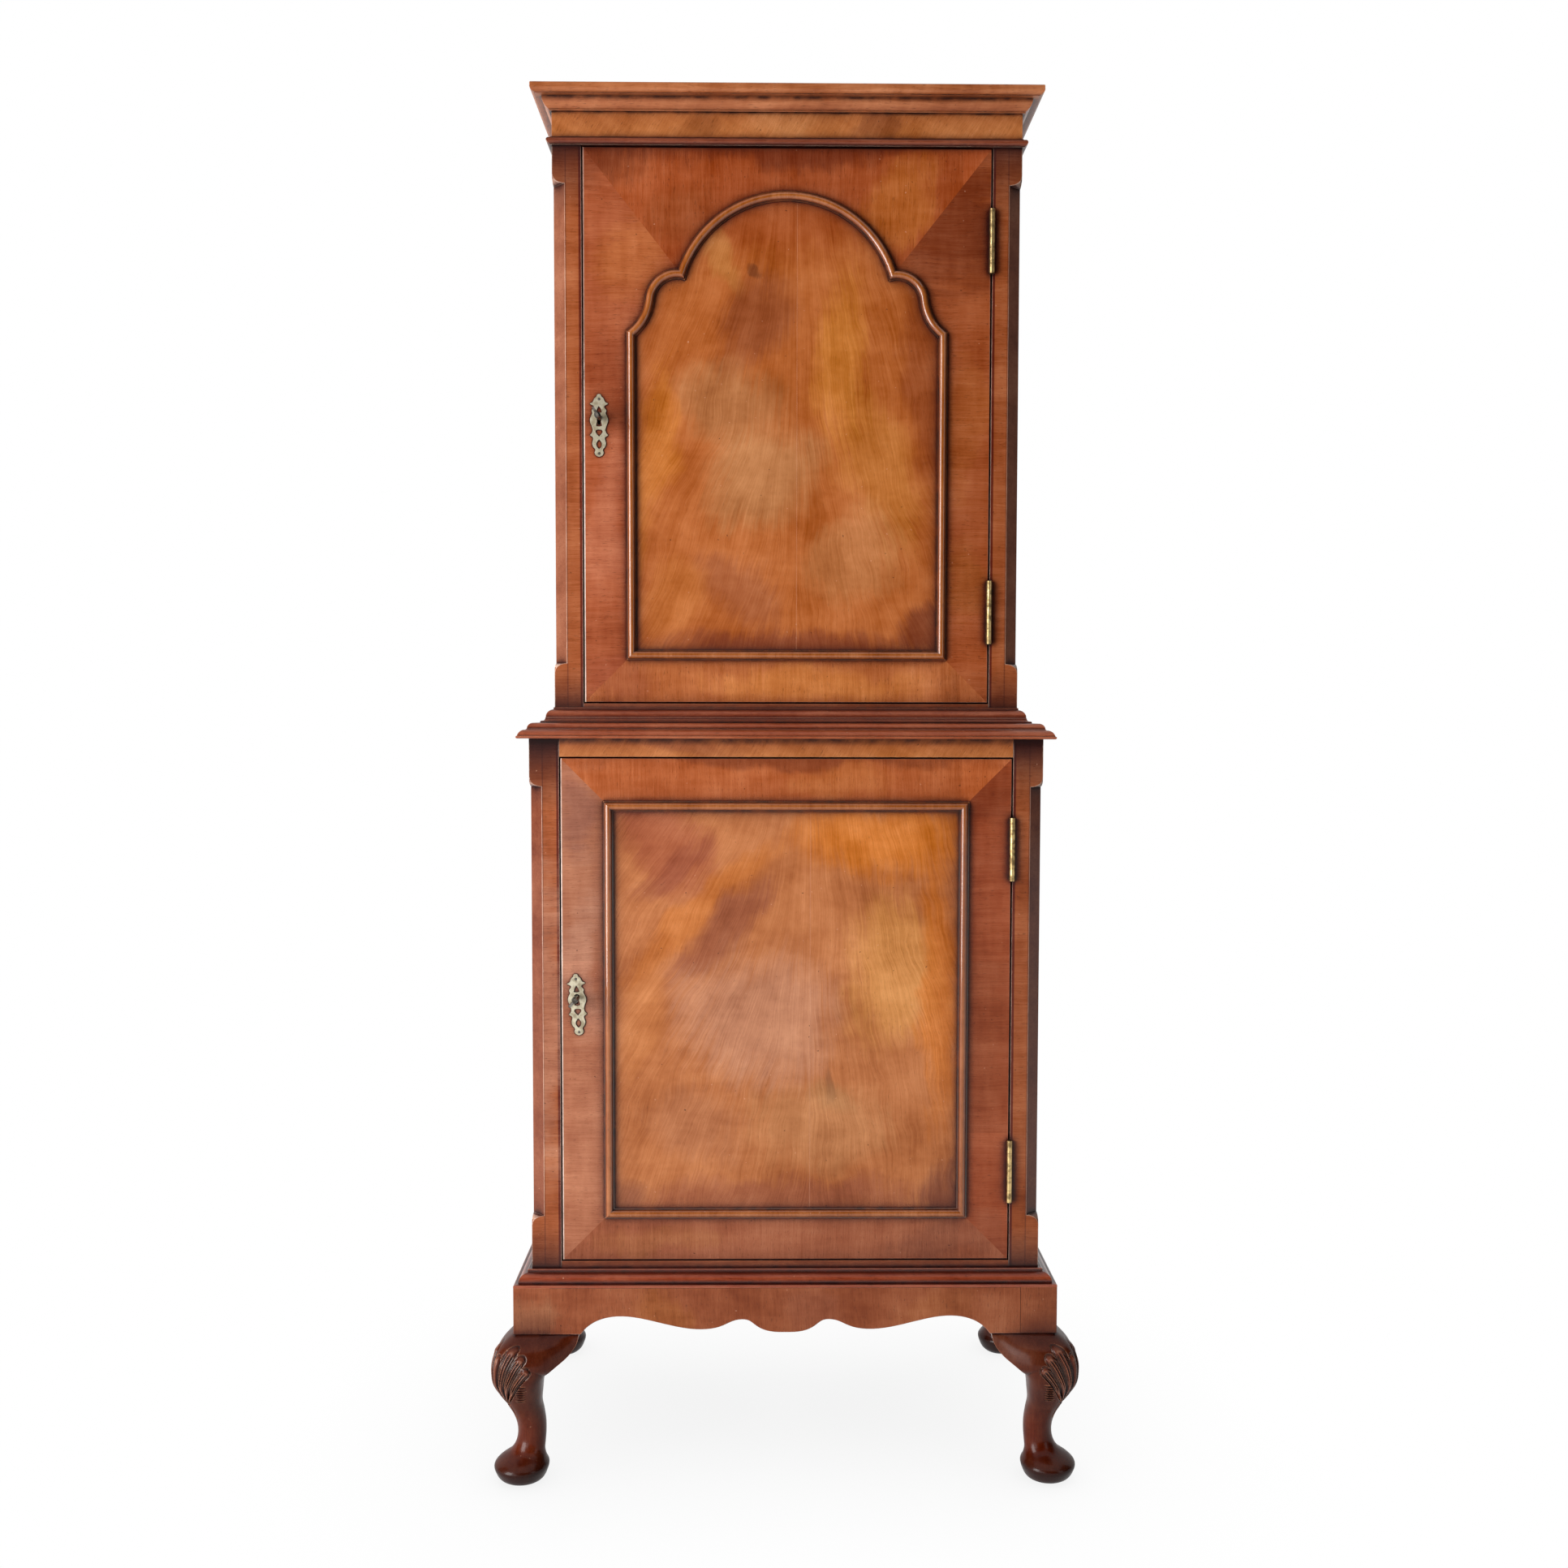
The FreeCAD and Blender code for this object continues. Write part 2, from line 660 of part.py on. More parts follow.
def strike_box(tier):
    """The strike plate's place in the face of the left post."""
    face = -number(tier.opening_half)
    key_z, height, thickness = numbers(tier.key_z, "dims.strike_height", "dims.strike_thickness")
    width = number("dims.strike_width")
    y, _ = bolt_span(tier, 0)
    centre = (y[0] + y[1]) / 2
    return block((face - thickness, face), (centre - width / 2, centre + width / 2),
                 (key_z - height / 2, key_z + height / 2))


def bolt_mortise(tier):
    """The room that the thrown bolt takes in the left post."""
    face = -number(tier.opening_half)
    throw, gap = numbers("dims.bolt_throw", "dims.moving_clearance")
    y, z = bolt_span(tier, gap)
    return block((face - throw - gap, face), y, z)


def make_posts(tier):
    """Chamfered corner posts: the left one takes the bolt, the right one carries the hinges."""
    name = tier.name
    y = (tier.front, tier.post_back)
    z = (tier.foot, tier.head)
    chamfer = chamfer_cutter(tier)
    left = board(f"{name}_post_left_blank", (f"-{tier.half}", f"-{tier.opening_half}"), y, z)
    right = board(f"{name}_post_right_blank", (tier.opening_half, tier.half), y, z)
    left_tools = [chamfer, strike_box(tier), bolt_mortise(tier)]
    right_tools = [chamfer.mirror(Vector(0, 0, 0), Vector(1, 0, 0))] + hinge_cutters(tier, 1)
    keep(f"{name}_post_left", cut(f"{name}_post_left", left, left_tools))
    keep(f"{name}_post_right", cut(f"{name}_post_right", right, right_tools))


def make_carcase(tier):
    """Sides, back, floor and foot rail of one cupboard."""
    name = tier.name
    z = (tier.foot, tier.head)
    behind_post = (tier.post_back, BACK)
    inside = (f"-{tier.inner_half}", tier.inner_half)
    between_posts = (f"-{tier.opening_half}", tier.opening_half)
    floor_rise = (f"{tier.opening_foot} - dims.board_thickness", tier.opening_foot)
    keep(f"{name}_side_left", board(f"{name}_side_left", (f"-{tier.half}", f"-{tier.inner_half}"), behind_post, z))
    keep(f"{name}_side_right", board(f"{name}_side_right", (tier.inner_half, tier.half), behind_post, z))
    keep(f"{name}_back", board(f"{name}_back", inside, (tier.panel_front, BACK), z))
    keep(f"{name}_bottom", board(f"{name}_bottom", inside, (tier.post_back, tier.panel_front), floor_rise))
    rail = board(
        f"{name}_bottom_rail", between_posts, (tier.front, tier.post_back), (tier.foot, tier.opening_foot)
    )
    keep(f"{name}_bottom_rail", rail)


def make_heads():
    """The lower frieze rail and waist board, and the upper cupboard's top, frieze and dust board."""
    between_posts = (f"-{LOWER.opening_half}", LOWER.opening_half)
    keep("lower_frieze_rail", board(
        "lower_frieze_rail", between_posts, (LOWER.front, LOWER.post_back), (LOWER.opening_head, LOWER_TOP)
    ))
    edge = "(dims.waist_edge_width - dims.waist_overhang)"
    keep("waist_board", board(
        "waist_board",
        (f"{edge} - {LOWER.half}", f"{LOWER.half} - {edge}"),
        (f"{LOWER.front} + {edge}", BACK),
        (LOWER_TOP, WAIST_TOP),
    ))
    head = board(
        "upper_head_strip",
        (f"-{UPPER.opening_half}", UPPER.opening_half),
        (UPPER.front, UPPER.post_back),
        (UPPER.opening_head, UPPER_TOP),
    )
    lid = board(
        "upper_top_panel",
        (f"-{UPPER.inner_half}", UPPER.inner_half),
        (UPPER.post_back, UPPER.panel_front),
        (UPPER.opening_head, UPPER_TOP),
    )
    keep("upper_top", join("upper_top", [head, lid]))
    frieze_rise = (UPPER_TOP, FRIEZE_TOP)
    inner_front = f"({UPPER.front} + dims.board_thickness)"
    front = board("frieze_front", (f"-{UPPER.half}", UPPER.half), (UPPER.front, inner_front), frieze_rise)
    left = board("frieze_left", (f"-{UPPER.half}", f"-{UPPER.inner_half}"), (inner_front, BACK), frieze_rise)
    right = board("frieze_right", (UPPER.inner_half, UPPER.half), (inner_front, BACK), frieze_rise)
    keep("frieze", group("frieze", [front, left, right]))
    keep("cornice_board", board(
        "cornice_board",
        (f"-{UPPER.half}", UPPER.half),
        (UPPER.front, BACK),
        (FRIEZE_TOP, f"{FRIEZE_TOP} + dims.cornice_board_thickness"),
    ))


def shelf_height(tier, place, count):
    """The underside of one of a cupboard's evenly spaced shelves."""
    return f"({tier.opening_foot} + ({tier.opening_head} - {tier.opening_foot}) * {place} / {count + 1})"


def make_shelves():
    """Loose shelves on bearers: two in the upper cupboard, one in the lower."""
    shelves, bearers = [], []
    for tier, count in ((LOWER, 1), (UPPER, 2)):
        reach = f"({tier.inner_half} - dims.shelf_clearance)"
        shelf_run = (f"{tier.post_back} + dims.shelf_setback", f"{tier.panel_front} - dims.shelf_clearance")
        bearer_run = (tier.post_back, tier.panel_front)
        bearer_inner = f"({tier.inner_half} - dims.shelf_bearer_side)"
        for place in range(1, count + 1):
            under = shelf_height(tier, place, count)
            tag = f"{tier.name}_{place}"
            rise = (under, f"{under} + dims.board_thickness")
            shelves.append(board(f"shelf_{tag}", (f"-{reach}", reach), shelf_run, rise))
            drop = (f"{under} - dims.shelf_bearer_side", under)
            left = (f"-{tier.inner_half}", f"-{bearer_inner}")
            bearers.append(board(f"bearer_left_{tag}", left, bearer_run, drop))
            right = (bearer_inner, tier.inner_half)
            bearers.append(board(f"bearer_right_{tag}", right, bearer_run, drop))
    keep("shelves", group("shelves", shelves))
    keep("shelf_bearers", group("shelf_bearers", bearers))


# Doors
class Panel:
    """The outline that a door's applied moulding follows, as points on the door's face."""

    def __init__(self, tier):
        self.tier = tier
        self.face = number(tier.front)
        self.half, self.low, self.high = numbers(tier.door_half, tier.door_foot, tier.door_head)
        self.reach = self.half - number(f"dims.{tier.name}_banding_side")

    def at(self, x, z):
        """A point on the door's face."""
        return Vector(x, self.face, z)

    def field(self):
        """The closed face that the moulding frames."""
        return Part.Face(Part.Wire(self.runs()))

    def mitre_points(self):
        """Left ends of the banding's mitres at the door's foot and head."""
        return self.at(-self.reach, self.foot), self.at(-self.head_half, self.head)


class SquarePanel(Panel):
    """A rectangular panel."""

    def __init__(self, tier):
        super().__init__(tier)
        end = number("dims.lower_banding_end")
        self.foot, self.head, self.head_half = self.low + end, self.high - end, self.reach

    def runs(self):
        """Edges in order round the panel."""
        corners = [
            self.at(-self.reach, self.foot), self.at(self.reach, self.foot),
            self.at(self.reach, self.head), self.at(-self.reach, self.head),
        ]
        return [Part.makeLine(one, two) for one, two in zip(corners, corners[1:] + corners[:1])]


class ArchedPanel(Panel):
    """A panel with a round arch between two scrolled shoulders."""

    def __init__(self, tier):
        super().__init__(tier)
        crown, foot = numbers("dims.upper_banding_head", "dims.upper_banding_foot")
        self.foot, self.crown = self.low + foot, self.high - crown
        self.head_half, rise, drop = numbers("dims.arch_half_width", "dims.arch_rise", "dims.shoulder_drop")
        self.head = self.crown - rise
        self.spring = self.head - drop
        self.radius = (self.head_half ** 2 + rise ** 2) / (2 * rise)

    def shoulder(self, side):
        """The five points of a shoulder's round and hollow, from the arch's cusp outwards."""
        span, drop = self.reach - self.head_half, self.head - self.spring
        shares = ((0, 0), (0.45, 0.12), (0.625, 0.43), (0.74, 0.74), (1, 1))
        return [self.at(side * (self.head_half + out * span), self.head - down * drop) for out, down in shares]

    def arch_point(self, angle):
        """A point of the arch at an angle to the right of its crown."""
        centre = self.crown - self.radius
        return self.at(self.radius * math.sin(angle), centre + self.radius * math.cos(angle))

    def runs(self):
        """Edges in order round the panel."""
        right, left = self.shoulder(1), self.shoulder(-1)
        foot_left, foot_right = self.at(-self.reach, self.foot), self.at(self.reach, self.foot)
        sweep = math.asin(self.head_half / self.radius)
        crown = self.arch_point(0)
        right_arch = Part.Arc(right[0], self.arch_point(sweep / 2), crown).toShape()
        left_arch = Part.Arc(crown, self.arch_point(-sweep / 2), left[0]).toShape()
        return [
            Part.makeLine(foot_left, foot_right),
            Part.makeLine(foot_right, right[4]),
            Part.Arc(right[4], right[3], right[2]).toShape(),
            Part.Arc(right[2], right[1], right[0]).toShape(),
            right_arch,
            left_arch,
            Part.Arc(left[0], left[1], left[2]).toShape(),
            Part.Arc(left[2], left[3], left[4]).toShape(),
            Part.makeLine(left[4], foot_left),
        ]


def edge_ends(edge):
    """The points and unit tangents at an edge's start and end, in its own direction."""
    first, last = edge.ParameterRange
    return [(edge.valueAt(place), edge.tangentAt(place).normalize()) for place in (first, last)]


def bead_along(edge, width, height, spare):
    """The door moulding swept along one edge, run past both ends by a spare length."""
    (start, way), (end, _) = edge_ends(edge)
    outward = Vector(0, -1, 0)
    across = outward.cross(way)

    def at_start(out, up):
        return start + across * (out * width) + outward * (up * height)

    face = profile_face(DOOR_PROFILE, at_start)
    if edge.Curve.TypeId == "Part::GeomLine":
        face.translate(way * -spare)
        return face.extrude(way * ((end - start).Length + 2 * spare))
    centre, axis = edge.Curve.Center, edge.Curve.Axis
    turn = (start - centre).cross(way).dot(axis)
    spin = axis if turn > 0 else axis * -1
    extra = math.degrees(spare / edge.Curve.Radius)
    face.rotate(centre, spin, -extra)
    return face.revolve(centre, spin, math.degrees(edge.Length / edge.Curve.Radius) + 2 * extra)


def beyond(point, way, size):
    """A block on the far side of the plane through a point, square to the given way."""
    cube = Part.makeBox(size, size, size, Vector(-size / 2, -size / 2, 0))
    cube.Placement = FreeCAD.Placement(point, FreeCAD.Rotation(Vector(0, 0, 1), way))
    return cube


def door_moulding(panel):
    """The door moulding as separate strips, mitred where they meet at an angle."""
    width, height = numbers("dims.door_moulding_width", "dims.door_moulding_height")
    runs = panel.runs()
    strips = []
    for place, edge in enumerate(runs):
        before, after = runs[place - 1], runs[(place + 1) % len(runs)]
        (start, way_out), (end, way_in) = edge_ends(edge)
        start_normal = (edge_ends(before)[1][1] + way_out).normalize()
        end_normal = (way_in + edge_ends(after)[0][1]).normalize()
        strip = bead_along(edge, width, height, width)
        trims = [beyond(start, start_normal * -1, 4 * width), beyond(end, end_normal, 4 * width)]
        strips.append(strip.cut(trims))
    return strips


def keyhole_cutter(tier, front, back):
    """The keyhole between two depths: a round for the shaft and a slot for the bit."""
    x, z = numbers(tier.key_x, tier.key_z)
    radius = number("dims.key_shaft_radius + dims.key_hole_clearance")
    slot, reach = numbers("dims.key_bit_thickness / 2 + dims.key_hole_clearance", "dims.key_bit_reach")
    reach += number("dims.key_hole_clearance")
    round_hole = Part.makeCylinder(radius, back - front, Vector(x, front, z), Vector(0, 1, 0))
    return round_hole.fuse(block((x - slot, x + slot), (front, back), (z - reach, z)))


def lock_box(tier):
    """The lock's outer block, let into the back of the door at its left edge."""
    edge, back, key_z = numbers(f"-{tier.door_half}", tier.door_back, tier.key_z)
    width, height, thickness = numbers("dims.lock_width", "dims.lock_height", "dims.lock_thickness")
    return block((edge, edge + width), (back - thickness, back), (key_z - height / 2, key_z + height / 2))


def plate_pin_places(tier):
    """Where an escutcheon's two pins go through it, on the door's face."""
    x, z, front = numbers(tier.key_x, tier.key_z, tier.front)
    rise, drop = numbers("dims.escutcheon_rise", "dims.escutcheon_drop")
    tilt = number(f"dims.{tier.name}_escutcheon_tilt") if tier is LOWER else 0
    for height in (0.76 * rise, -0.91 * drop):
        angle = math.radians(tilt)
        yield Vector(x - height * math.sin(angle), front, z + height * math.cos(angle))


def plate_pin_cutters(tier):
    """Holes for the escutcheon's pins."""
    radius, length = numbers("dims.plate_pin_radius + dims.running_clearance", "dims.plate_pin_length")
    stand = number("dims.escutcheon_thickness")
    into = Vector(0, 1, 0)
    return [
        Part.makeCylinder(radius, length + stand, place - into * stand, into)
        for place in plate_pin_places(tier)
    ]


def veneers(panel, seam, cutters):
    """Four mitred banding strips and two field leaves, as shapes laid on the door's face."""
    thickness = number("dims.veneer_thickness")
    depth = Vector(0, thickness, 0)
    field = panel.field().extrude(depth)
    foot, head = panel.mitre_points()
    corners = [panel.at(-panel.half, panel.low), panel.at(-panel.half, panel.high)]
    mirrored = [Vector(-point.x, point.y, point.z) for point in corners + [foot, head]]
    right_foot, right_head, inner_foot, inner_head = mirrored
    outlines = [
        [corners[0], right_foot, inner_foot, foot],
        [corners[1], head, inner_head, right_head],
        [corners[0], foot, head, corners[1]],
        [right_foot, right_head, inner_head, inner_foot],
    ]
    banding = [polygon(points).extrude(depth).cut([field] + cutters) for points in outlines]
    left_side = block(
        (-panel.half, seam), (panel.face, panel.face + thickness), (panel.low, panel.high)
    )
    return banding, [field.common(left_side), field.cut(left_side)]


def make_door(tier, panel):
    """A door: core, crossbanding, book-matched field and applied moulding."""
    name = tier.name
    core_front, lock_front = number(tier.core_front), number(f"{tier.door_back} - dims.lock_thickness")
    face_cutters = hinge_cutters(tier, -1) + plate_pin_cutters(tier)
    face_cutters.append(keyhole_cutter(tier, panel.face, core_front))
    blank = board(
        f"{name}_door_core_blank",
        (f"-{tier.door_half}", tier.door_half),
        (tier.core_front, tier.door_back),
        (tier.door_foot, tier.door_head),
    )
    core_cutters = hinge_cutters(tier, -1) + plate_pin_cutters(tier) + [lock_box(tier)]
    core_cutters.append(keyhole_cutter(tier, core_front, lock_front))
    keep(f"{name}_door_core", cut(f"{name}_door_core", blank, core_cutters))
    banding, leaves = veneers(panel, number(tier.seam), face_cutters)
    moulding_strips_here = door_moulding(panel)
    for part_name, shapes in (
        ("banding", banding), ("field", leaves), ("moulding", moulding_strips_here)
    ):
        label = f"{name}_door_{part_name}"
        members = [solid(f"{label}_{place}", shape) for place, shape in enumerate(shapes)]
        keep(label, group(label, members))


# Hinges
KNUCKLES = 5


def hinge_leaf(tier, height, side):
    """One hinge leaf with its knuckles, bored for the pin and countersunk for its screws."""
    pin_x, pin_y, front = numbers(tier.pin_x, tier.pin_y, tier.front)
    length, radius, bore = numbers("dims.hinge_length", "dims.knuckle_radius", "dims.pin_radius")
    gap, thickness, fit = numbers("dims.leaf_gap", "dims.leaf_thickness", "dims.running_clearance")
    slack = number("dims.knuckle_clearance")
    pitch = length / KNUCKLES
    low = height - length / 2
    shape = leaf_box(tier, height, side)
    x = sorted((pin_x + side * gap / 2, pin_x + side * (gap / 2 + thickness)))
    for place in range(0 if side > 0 else 1, KNUCKLES, 2):
        foot = low + place * pitch + slack / 2
        rise = pitch - slack
        barrel = Part.makeCylinder(radius, rise, Vector(pin_x, pin_y, foot))
        shape = shape.fuse([barrel, block(x, (pin_y, front), (foot, foot + rise))])
    holes = [screw_shape(point, way, fit) for point, way in screw_places(tier, height, side)]
    holes.append(Part.makeCylinder(bore + fit, length, Vector(pin_x, pin_y, low)))
    return shape.removeSplitter().cut(holes)


def make_hinges():
    """Two butt hinges on each door: leaves, pins and screws."""
    case_leaves, case_screws, pins = [], [], []
    radius, length = numbers("dims.pin_radius", "dims.hinge_length")
    for tier in TIERS:
        door_leaves = []
        for place, height in enumerate(hinge_sites(tier)):
            tag = f"{tier.name}_{place}"
            door_leaves.append(solid(f"hinge_door_leaf_{tag}", hinge_leaf(tier, height, -1)))
            case_leaves.append(solid(f"hinge_case_leaf_{tag}", hinge_leaf(tier, height, 1)))
            foot = Vector(*numbers(tier.pin_x, tier.pin_y), height - length / 2)
            pins.append(solid(f"hinge_pin_{tag}", Part.makeCylinder(radius, length, foot)))
            for spot, (point, way) in enumerate(screw_places(tier, height, 1)):
                case_screws.append(solid(f"case_screw_{tag}_{spot}", screw_shape(point, way, 0)))
        label = f"{tier.name}_hinge_leaves"
        keep(label, group(label, door_leaves))
    keep("hinge_case_leaves", group("hinge_case_leaves", case_leaves))
    keep("hinge_case_screws", group("hinge_case_screws", case_screws))
    keep("hinge_pins", group("hinge_pins", pins))


def make_door_fixings(tier):
    """A door's hinge screws and the round-headed pins of its escutcheon."""
    screws = [
        screw_shape(point, way, 0)
        for height in hinge_sites(tier)
        for point, way in screw_places(tier, height, -1)
    ]
    radius, head, length = numbers(
        "dims.plate_pin_radius", "dims.plate_pin_head_radius", "dims.plate_pin_length"
    )
    stand = number("dims.escutcheon_thickness")
    into = Vector(0, 1, 0)
    pins = []
    for place in plate_pin_places(tier):
        top = place - into * stand
        dome = Part.makeCone(head / 2, head, radius, top - into * radius, into)
        pins.append(dome.fuse(Part.makeCylinder(radius, length, top, into)))
    label = f"{tier.name}_door_fixings"
    members = [solid(f"{label}_{place}", shape) for place, shape in enumerate(screws + pins)]
    keep(label, group(label, members))


# Locks
def make_lock(tier):
    """A cut lock: its case, and the bolt that slides in it."""
    name = tier.name
    edge, back = numbers(f"-{tier.door_half}", tier.door_back)
    wall, gap = numbers("dims.lock_wall", "dims.moving_clearance")
    width, height, thickness = numbers("dims.lock_width", "dims.lock_height", "dims.lock_thickness")
    key_z, length, recess = numbers(tier.key_z, "dims.bolt_length", "dims.bolt_recess")
    inside = block(
        (edge + wall, edge + width - wall),
        (back - thickness + wall, back - wall),
        (key_z - height / 2 + wall, key_z + height / 2 - wall),
    )
    mouth_y, mouth_z = bolt_span(tier, gap)
    mouth = block((edge, edge + wall), (mouth_y[0], min(mouth_y[1], back - wall)), mouth_z)
    keyhole = keyhole_cutter(tier, back - thickness, back - thickness + wall)
    shell = solid(f"{name}_lock_block", lock_box(tier))
    keep(f"{name}_lock_case", cut(f"{name}_lock_case", shell, [inside, mouth, keyhole]))
    y, z = bolt_span(tier, 0)
    bolt = solid(f"{name}_lock_bolt", block((edge + recess, edge + recess + length), y, z))
    keep(f"{name}_lock_bolt", bolt)


def make_strikes():
    """Strike plates in the left posts, with a mouth for the bolt."""
    plates = []
    for tier in TIERS:
        plate = strike_box(tier).cut(bolt_mortise(tier))
        plates.append(solid(f"strike_{tier.name}", plate))
    keep("strike_plates", group("strike_plates", plates))


def make_key(tier):
    """A key in its lock: oval bow, round shaft and flat bit, turned as it was left."""
    name = tier.name
    x, z, front, back = numbers(tier.key_x, tier.key_z, tier.front, tier.door_back)
    wall, gap, bolt = numbers("dims.lock_wall", "dims.moving_clearance", "dims.bolt_thickness")
    radius, stand_off = numbers("dims.key_shaft_radius", "dims.key_stand_off")
    long, wide, thick = numbers("dims.key_bow_length", "dims.key_bow_width", "dims.key_bow_thickness")
    reach, bit = numbers("dims.key_bit_reach", "dims.key_bit_thickness")
    tip = back - wall - gap - bolt - gap
    inner_front = back - number("dims.lock_thickness") + wall + gap
    into = Vector(0, 1, 0)
    shaft = Part.makeCylinder(radius, tip - front + stand_off, Vector(0, front - stand_off, 0), into)
    collar = Part.makeCylinder(1.5 * radius, radius, Vector(0, front - stand_off, 0), into)
    centre = Vector(-thick / 2, front - stand_off - long / 2 + radius / 2, 0)
    across = Vector(1, 0, 0)

    def oval(share_long, share_wide):
        ellipse = Part.Ellipse(Vector(0, 0, 0), share_long * long / 2, share_wide * wide / 2)
        face = Part.Face(Part.Wire(ellipse.toShape()))
        plate = face.extrude(Vector(0, 0, thick))
        turn = FreeCAD.Rotation(Vector(0, 1, 0), Vector(0, 0, 1), Vector(1, 0, 0), "XYZ")
        plate.Placement = FreeCAD.Placement(centre, turn)
        return plate

    bow = oval(1, 1).cut(oval(0.62, 0.56))
    flag = block((-bit / 2, bit / 2), (inner_front, tip), (-reach, 0))
    key = bow.fuse([shaft, collar, flag]).removeSplitter()
    feature = solid(f"{name}_key", key)
    tilt = number(f"dims.{name}_key_tilt")
    feature.Placement = FreeCAD.Placement(Vector(x, 0, z), FreeCAD.Rotation(into, tilt))
    keep(f"{name}_key", feature)


def make_escutcheon(tier, tilt):
    """A pierced key plate: shaped edge, keyhole and three openings."""
    half, rise, drop = numbers(
        "dims.escutcheon_half_width", "dims.escutcheon_rise", "dims.escutcheon_drop"
    )
    slot = number("dims.key_bit_thickness / 2 + dims.key_hole_clearance")
    hole = number("dims.key_shaft_radius + dims.key_hole_clearance")
    reach = number("dims.key_bit_reach + dims.key_hole_clearance")
    edge = [(out * half, up * (rise if up > 0 else drop)) for out, up in ESCUTCHEON_EDGE]
    loop = [Vector(out, up, 0) for out, up in edge] + [Vector(-out, up, 0) for out, up in edge[::-1]]
    shoulder = -math.sqrt(hole ** 2 - slot ** 2)
    neck_right, neck_left = Vector(slot, shoulder, 0), Vector(-slot, shoulder, 0)
    foot_right, foot_left = Vector(slot, -reach, 0), Vector(-slot, -reach, 0)
    keyhole = [
        Part.Arc(neck_right, Vector(0, hole, 0), neck_left),
        Part.LineSegment(neck_left, foot_left),
        Part.LineSegment(foot_left, foot_right),
        Part.LineSegment(foot_right, neck_right),
    ]
    curves = closed_lines(loop) + keyhole
    window = half / 3
    for top, foot in ((0.45 * rise, 0.18 * rise), (-0.28 * drop, -0.5 * drop)):
        middle = (top + foot) / 2
        curves += closed_lines([
            Vector(0, top, 0), Vector(window, middle, 0), Vector(0, foot, 0), Vector(-window, middle, 0)
        ])
    lens_top, lens_foot = Vector(0, -0.57 * drop, 0), Vector(0, -0.82 * drop, 0)
    lens_middle = (lens_top.y + lens_foot.y) / 2
    curves.append(Part.Arc(lens_top, Vector(window, lens_middle, 0), lens_foot))
    curves.append(Part.Arc(lens_foot, Vector(-window, lens_middle, 0), lens_top))
    blank = padded(f"{tier.name}_escutcheon_plate", "XZ_Plane", curves, "dims.escutcheon_thickness")
    turn = FreeCAD.Rotation(Vector(0, 1, 0), -tilt)
    blank.Placement = FreeCAD.Placement(Vector(*numbers(tier.key_x, tier.front, tier.key_z)), turn)
    keep(f"{tier.name}_escutcheon", cut(f"{tier.name}_escutcheon", blank, plate_pin_cutters(tier)))


def closed_lines(points):
    """Straight sketch lines round a closed loop of points."""
    return [Part.LineSegment(one, two) for one, two in zip(points, points[1:] + points[:1])]


def check_pieces():
    """Stops the build if any object failed or any sub-part has no sound shape."""
    doc.recompute()
    for thing in doc.Objects:
        if {"Invalid", "Error"} & set(thing.State):
            raise RuntimeError(f"{thing.Label} failed: {thing.State}")
    for label, piece in pieces.items():
        if piece.Shape.isNull() or not piece.Shape.isValid() or not piece.Shape.Solids:
            raise RuntimeError(f"{label} has no sound shape")


def write_pieces():
    """Writes each sub-part to its own file."""
    os.makedirs("parts", exist_ok=True)
    for label, piece in pieces.items():
        piece.Shape.exportStep(f"parts/{label}.step")


make_legs()
make_brackets()
make_aprons()
make_stand_bearers()
make_mouldings()
for tier in TIERS:
    make_posts(tier)
    make_carcase(tier)
make_heads()
make_shelves()
make_door(LOWER, SquarePanel(LOWER))
make_door(UPPER, ArchedPanel(UPPER))
make_hinges()
for tier in TIERS:
    make_door_fixings(tier)
    make_lock(tier)
    make_key(tier)
make_strikes()
make_escutcheon(UPPER, 0)
make_escutcheon(LOWER, number("dims.lower_escutcheon_tilt"))
check_pieces()
write_pieces()
for label, piece in pieces.items():
    print(label, len(piece.Shape.Solids), round(piece.Shape.Volume))
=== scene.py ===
"""Looks of a two-tier walnut cupboard on a stand with carved cabriole legs, in metres."""
import logging
import math
from dataclasses import dataclass, replace
from enum import Enum
from typing import Optional, Sequence, Union

import bmesh
import bpy
from mathutils import Matrix, Vector


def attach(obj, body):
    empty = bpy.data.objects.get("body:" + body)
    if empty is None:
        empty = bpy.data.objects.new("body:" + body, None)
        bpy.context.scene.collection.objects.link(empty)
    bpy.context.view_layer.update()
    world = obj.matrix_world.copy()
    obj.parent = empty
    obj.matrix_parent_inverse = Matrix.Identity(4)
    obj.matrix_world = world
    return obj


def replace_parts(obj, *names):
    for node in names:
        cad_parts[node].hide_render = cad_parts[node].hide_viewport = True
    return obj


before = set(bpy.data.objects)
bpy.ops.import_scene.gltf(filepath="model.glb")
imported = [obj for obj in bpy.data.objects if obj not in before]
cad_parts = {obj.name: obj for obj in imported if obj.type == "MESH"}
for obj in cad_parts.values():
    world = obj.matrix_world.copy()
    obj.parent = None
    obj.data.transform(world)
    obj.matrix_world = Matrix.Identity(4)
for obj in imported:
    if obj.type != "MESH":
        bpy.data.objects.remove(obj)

log = logging.getLogger("cupboard")
MM = 0.001
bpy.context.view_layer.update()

# Sizes in millimetres that legs, posts and brackets share, the halves over the aprons' faces.
STAND_HALF_WIDTH = 328.0
STAND_HALF_DEPTH = 192.0
LEG_HEIGHT = 180.0
POST_SIDE = 44.0

Tree = bpy.types.NodeTree
Socket = bpy.types.NodeSocket
Material = bpy.types.Material
# A colour in a node tree: a socket to link, or a fixed colour to set.
Tone = Union[Socket, tuple]


